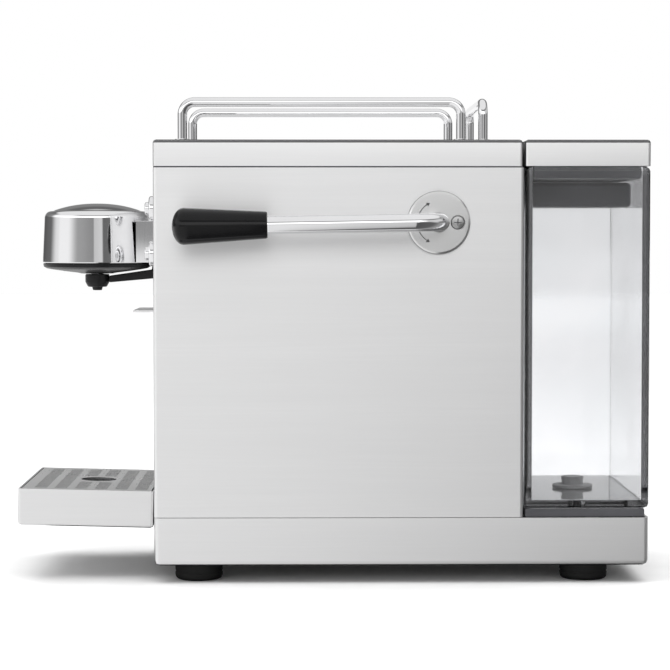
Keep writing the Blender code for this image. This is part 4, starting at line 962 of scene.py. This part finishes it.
def make_floor():
    """Pale floor that glows a little far behind, so that it meets the white backdrop."""
    bm = bmesh.new()
    bmesh.ops.create_grid(bm, x_segments=1, y_segments=1, size=FLOOR_HALF)
    floor = new_piece("floor", bm)
    nodes = Nodes("studio_floor")
    mottle = nodes.noise(40.0, 5.0)
    pale = nodes.mix(nodes.span(mottle, 0.0, 1.0), (0.90, 0.90, 0.90), (0.93, 0.93, 0.93))
    nodes.set(Base_Color=pale, Roughness=nodes.span(mottle, 0.55, 0.62), Specular_IOR_Level=0.2)
    place = nodes.add("ShaderNodeSeparateXYZ", Vector=nodes.coords)
    glow = nodes.span(place.outputs["X"], 0.0, FLOOR_GLOW, GLOW_FROM_TO)
    nodes.set(Emission_Color=(1.0, 1.0, 1.0), Emission_Strength=glow)
    floor.data.materials.append(nodes.material)
    floor.visible_glossy = False
    floor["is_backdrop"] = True


def make_painted_shadow_card():
    """Painted shadow: a dark card under the machine that only reflections see, standing for the shaded floor
    there, in place of the hidden floor.
    """
    low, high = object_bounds()
    card = box_piece("painted_shadow_card", (low[0] + CARD_MARGIN, low[1] + CARD_MARGIN, INSET),
                     (box_of("base_pan")[1].x, high[1], 2 * INSET))
    shade = Nodes("studio_painted_shadow_card")
    shade.set(Base_Color=(0.01, 0.01, 0.01), Roughness=shade.span(shade.noise(40.0), 0.8, 0.9))
    card.data.materials.append(shade.material)
    for sight in ("visible_camera", "visible_diffuse", "visible_transmission", "visible_shadow"):
        setattr(card, sight, False)
    card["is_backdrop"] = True


# Brightness of the studio seen in reflections, by turn about the machine in degrees
# (0 is the lever side, -90 the front). LOW is at the horizon, BAND and HIGH are above it, and
# FLOOR is what reflections see below it.
STUDIO_LOW = (
    (-180, 0.90), (-165, 0.90), (-153, 0.10), (-115, 0.15), (-90, 0.85), (-80, 1.00), (-62, 1.00),
    (-35, 0.38), (-3, 0.30), (-1, 0.62), (15, 0.70), (18, 0.15), (50, 0.20), (72, 0.58), (82, 0.60),
    (90, 0.15), (150, 0.12), (165, 0.90), (180, 0.90),
)
STUDIO_BAND = (
    (-180, 0.25), (-158, 0.22), (-140, 0.20), (-120, 0.28), (-100, 1.20), (-40, 1.70), (20, 1.90),
    (32, 1.20), (50, 0.70), (95, 0.70), (120, 0.45), (145, 0.20), (160, 0.22), (180, 0.25),
)
STUDIO_HIGH = (
    (-180, 0.14), (-120, 0.20), (-95, 0.90), (-60, 0.90), (-30, 0.20), (60, 0.20), (100, 0.40), (130, 0.16),
    (180, 0.14),
)
STUDIO_FLOOR = (
    (-180, 1.00), (-95, 1.00), (-30, 0.98), (-10, 0.98), (-1, 0.90), (4, 0.60), (10, 0.10), (60, 0.12),
    (110, 0.40), (160, 1.00), (180, 1.00),
)
STUDIO_TOP = 0.9


def make_world():
    world = bpy.data.worlds.new("studio")
    bpy.context.scene.world = world
    world.use_nodes = True
    tree = world.node_tree
    tree.nodes.clear()

    def add(kind, **links):
        node = tree.nodes.new(kind)
        for name, value in links.items():
            socket = node.inputs[name.replace("_", " ")]
            if hasattr(value, "is_linked"):
                tree.links.new(value, socket)
            else:
                socket.default_value = value
        return node

    split = add("ShaderNodeSeparateXYZ", Vector=add("ShaderNodeTexCoord").outputs["Generated"])
    turn = tree.nodes.new("ShaderNodeMath")
    turn.operation = "ARCTAN2"
    tree.links.new(split.outputs["Y"], turn.inputs[0])
    tree.links.new(split.outputs["X"], turn.inputs[1])
    share = add("ShaderNodeMapRange", Value=turn.outputs[0], From_Min=-math.pi, From_Max=math.pi)

    def ramp(rows):
        node = add("ShaderNodeValToRGB", Fac=share.outputs["Result"])
        node.color_ramp.interpolation = "EASE"
        stops = node.color_ramp.elements
        stops.remove(stops[0])
        for number, (angle, value) in enumerate(rows):
            stop = stops[0] if number == 0 else stops.new((angle + 180) / 360)
            stop.position = (angle + 180) / 360
            stop.color = (value, value, value, 1)
        return node.outputs["Color"]

    def rise(low, high):
        node = add("ShaderNodeMapRange", Value=split.outputs["Z"], From_Min=low, From_Max=high)
        node.interpolation_type = "SMOOTHSTEP"
        return node.outputs["Result"]

    def blend(factor, first, second):
        node = tree.nodes.new("ShaderNodeMix")
        node.data_type = "RGBA"
        tree.links.new(factor, node.inputs["Factor"])
        for place, value in ((6, first), (7, second)):
            if hasattr(value, "is_linked"):
                tree.links.new(value, node.inputs[place])
            else:
                node.inputs[place].default_value = (value, value, value, 1)
        return node.outputs[2]

    around = blend(rise(-0.012, -0.002), ramp(STUDIO_FLOOR), ramp(STUDIO_LOW))
    around = blend(rise(0.10, 0.18), around, ramp(STUDIO_BAND))
    around = blend(rise(0.40, 0.50), around, ramp(STUDIO_HIGH))
    light = blend(rise(0.56, 0.66), around, STUDIO_TOP)
    seen = add("ShaderNodeBackground", Color=(1, 1, 1, 1), Strength=1.0)
    lit = add("ShaderNodeBackground", Color=light, Strength=1.0)
    choose = tree.nodes.new("ShaderNodeMixShader")
    tree.links.new(add("ShaderNodeLightPath").outputs["Is Camera Ray"], choose.inputs[0])
    tree.links.new(lit.outputs[0], choose.inputs[1])
    tree.links.new(seen.outputs[0], choose.inputs[2])
    add("ShaderNodeOutputWorld", Surface=choose.outputs[0])


def area_light(name, place, target, width, height, power):
    data = bpy.data.lights.new(name, "AREA")
    data.shape = "RECTANGLE"
    data.size = width
    data.size_y = height
    data.energy = power
    light = bpy.data.objects.new(name, data)
    bpy.context.scene.collection.objects.link(light)
    light.location = place
    light.rotation_euler = (Vector(target) - Vector(place)).to_track_quat("-Z", "Y").to_euler()
    light.visible_glossy = False
    light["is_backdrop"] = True


def make_lights():
    area_light("key", (1.0, -1.3, 1.5), (0, 0, 0.1), 1.2, 0.9, 5.0)
    area_light("overhead", (0.0, 0.0, 1.6), (0, 0, 0), 2.4, 2.4, 34.0)


def set_colours():
    view = bpy.context.scene.view_settings
    view.view_transform = "Standard"
    view.look = "None"


CAMERA_LENS = 122.35
CAMERA_PLACE = (1.339875, -0.01536, 0.1995)
CAMERA_YAW = math.radians(0.73)
CAMERA_PITCH = math.radians(2.557)


def make_camera():
    data = bpy.data.cameras.new("camera")
    data.sensor_width = 36.0
    data.lens = CAMERA_LENS
    camera = bpy.data.objects.new("camera", data)
    bpy.context.scene.collection.objects.link(camera)
    camera.location = CAMERA_PLACE
    yaw = CAMERA_YAW
    pitch = CAMERA_PITCH
    aim = Vector((-math.cos(pitch) * math.cos(yaw), math.cos(pitch) * math.sin(yaw), -math.sin(pitch)))
    camera.rotation_euler = aim.to_track_quat("-Z", "Y").to_euler()
    bpy.context.scene.camera = camera


make_casing()
make_seam_shadow_strip()
make_feet()
make_rails()
make_tank()
make_brew_head()
make_buttons()
make_lever()
make_escutcheon()
make_tray()
dress_carried_nodes()
make_floor()
make_painted_shadow_card()
make_world()
make_lights()
set_colours()
make_camera()
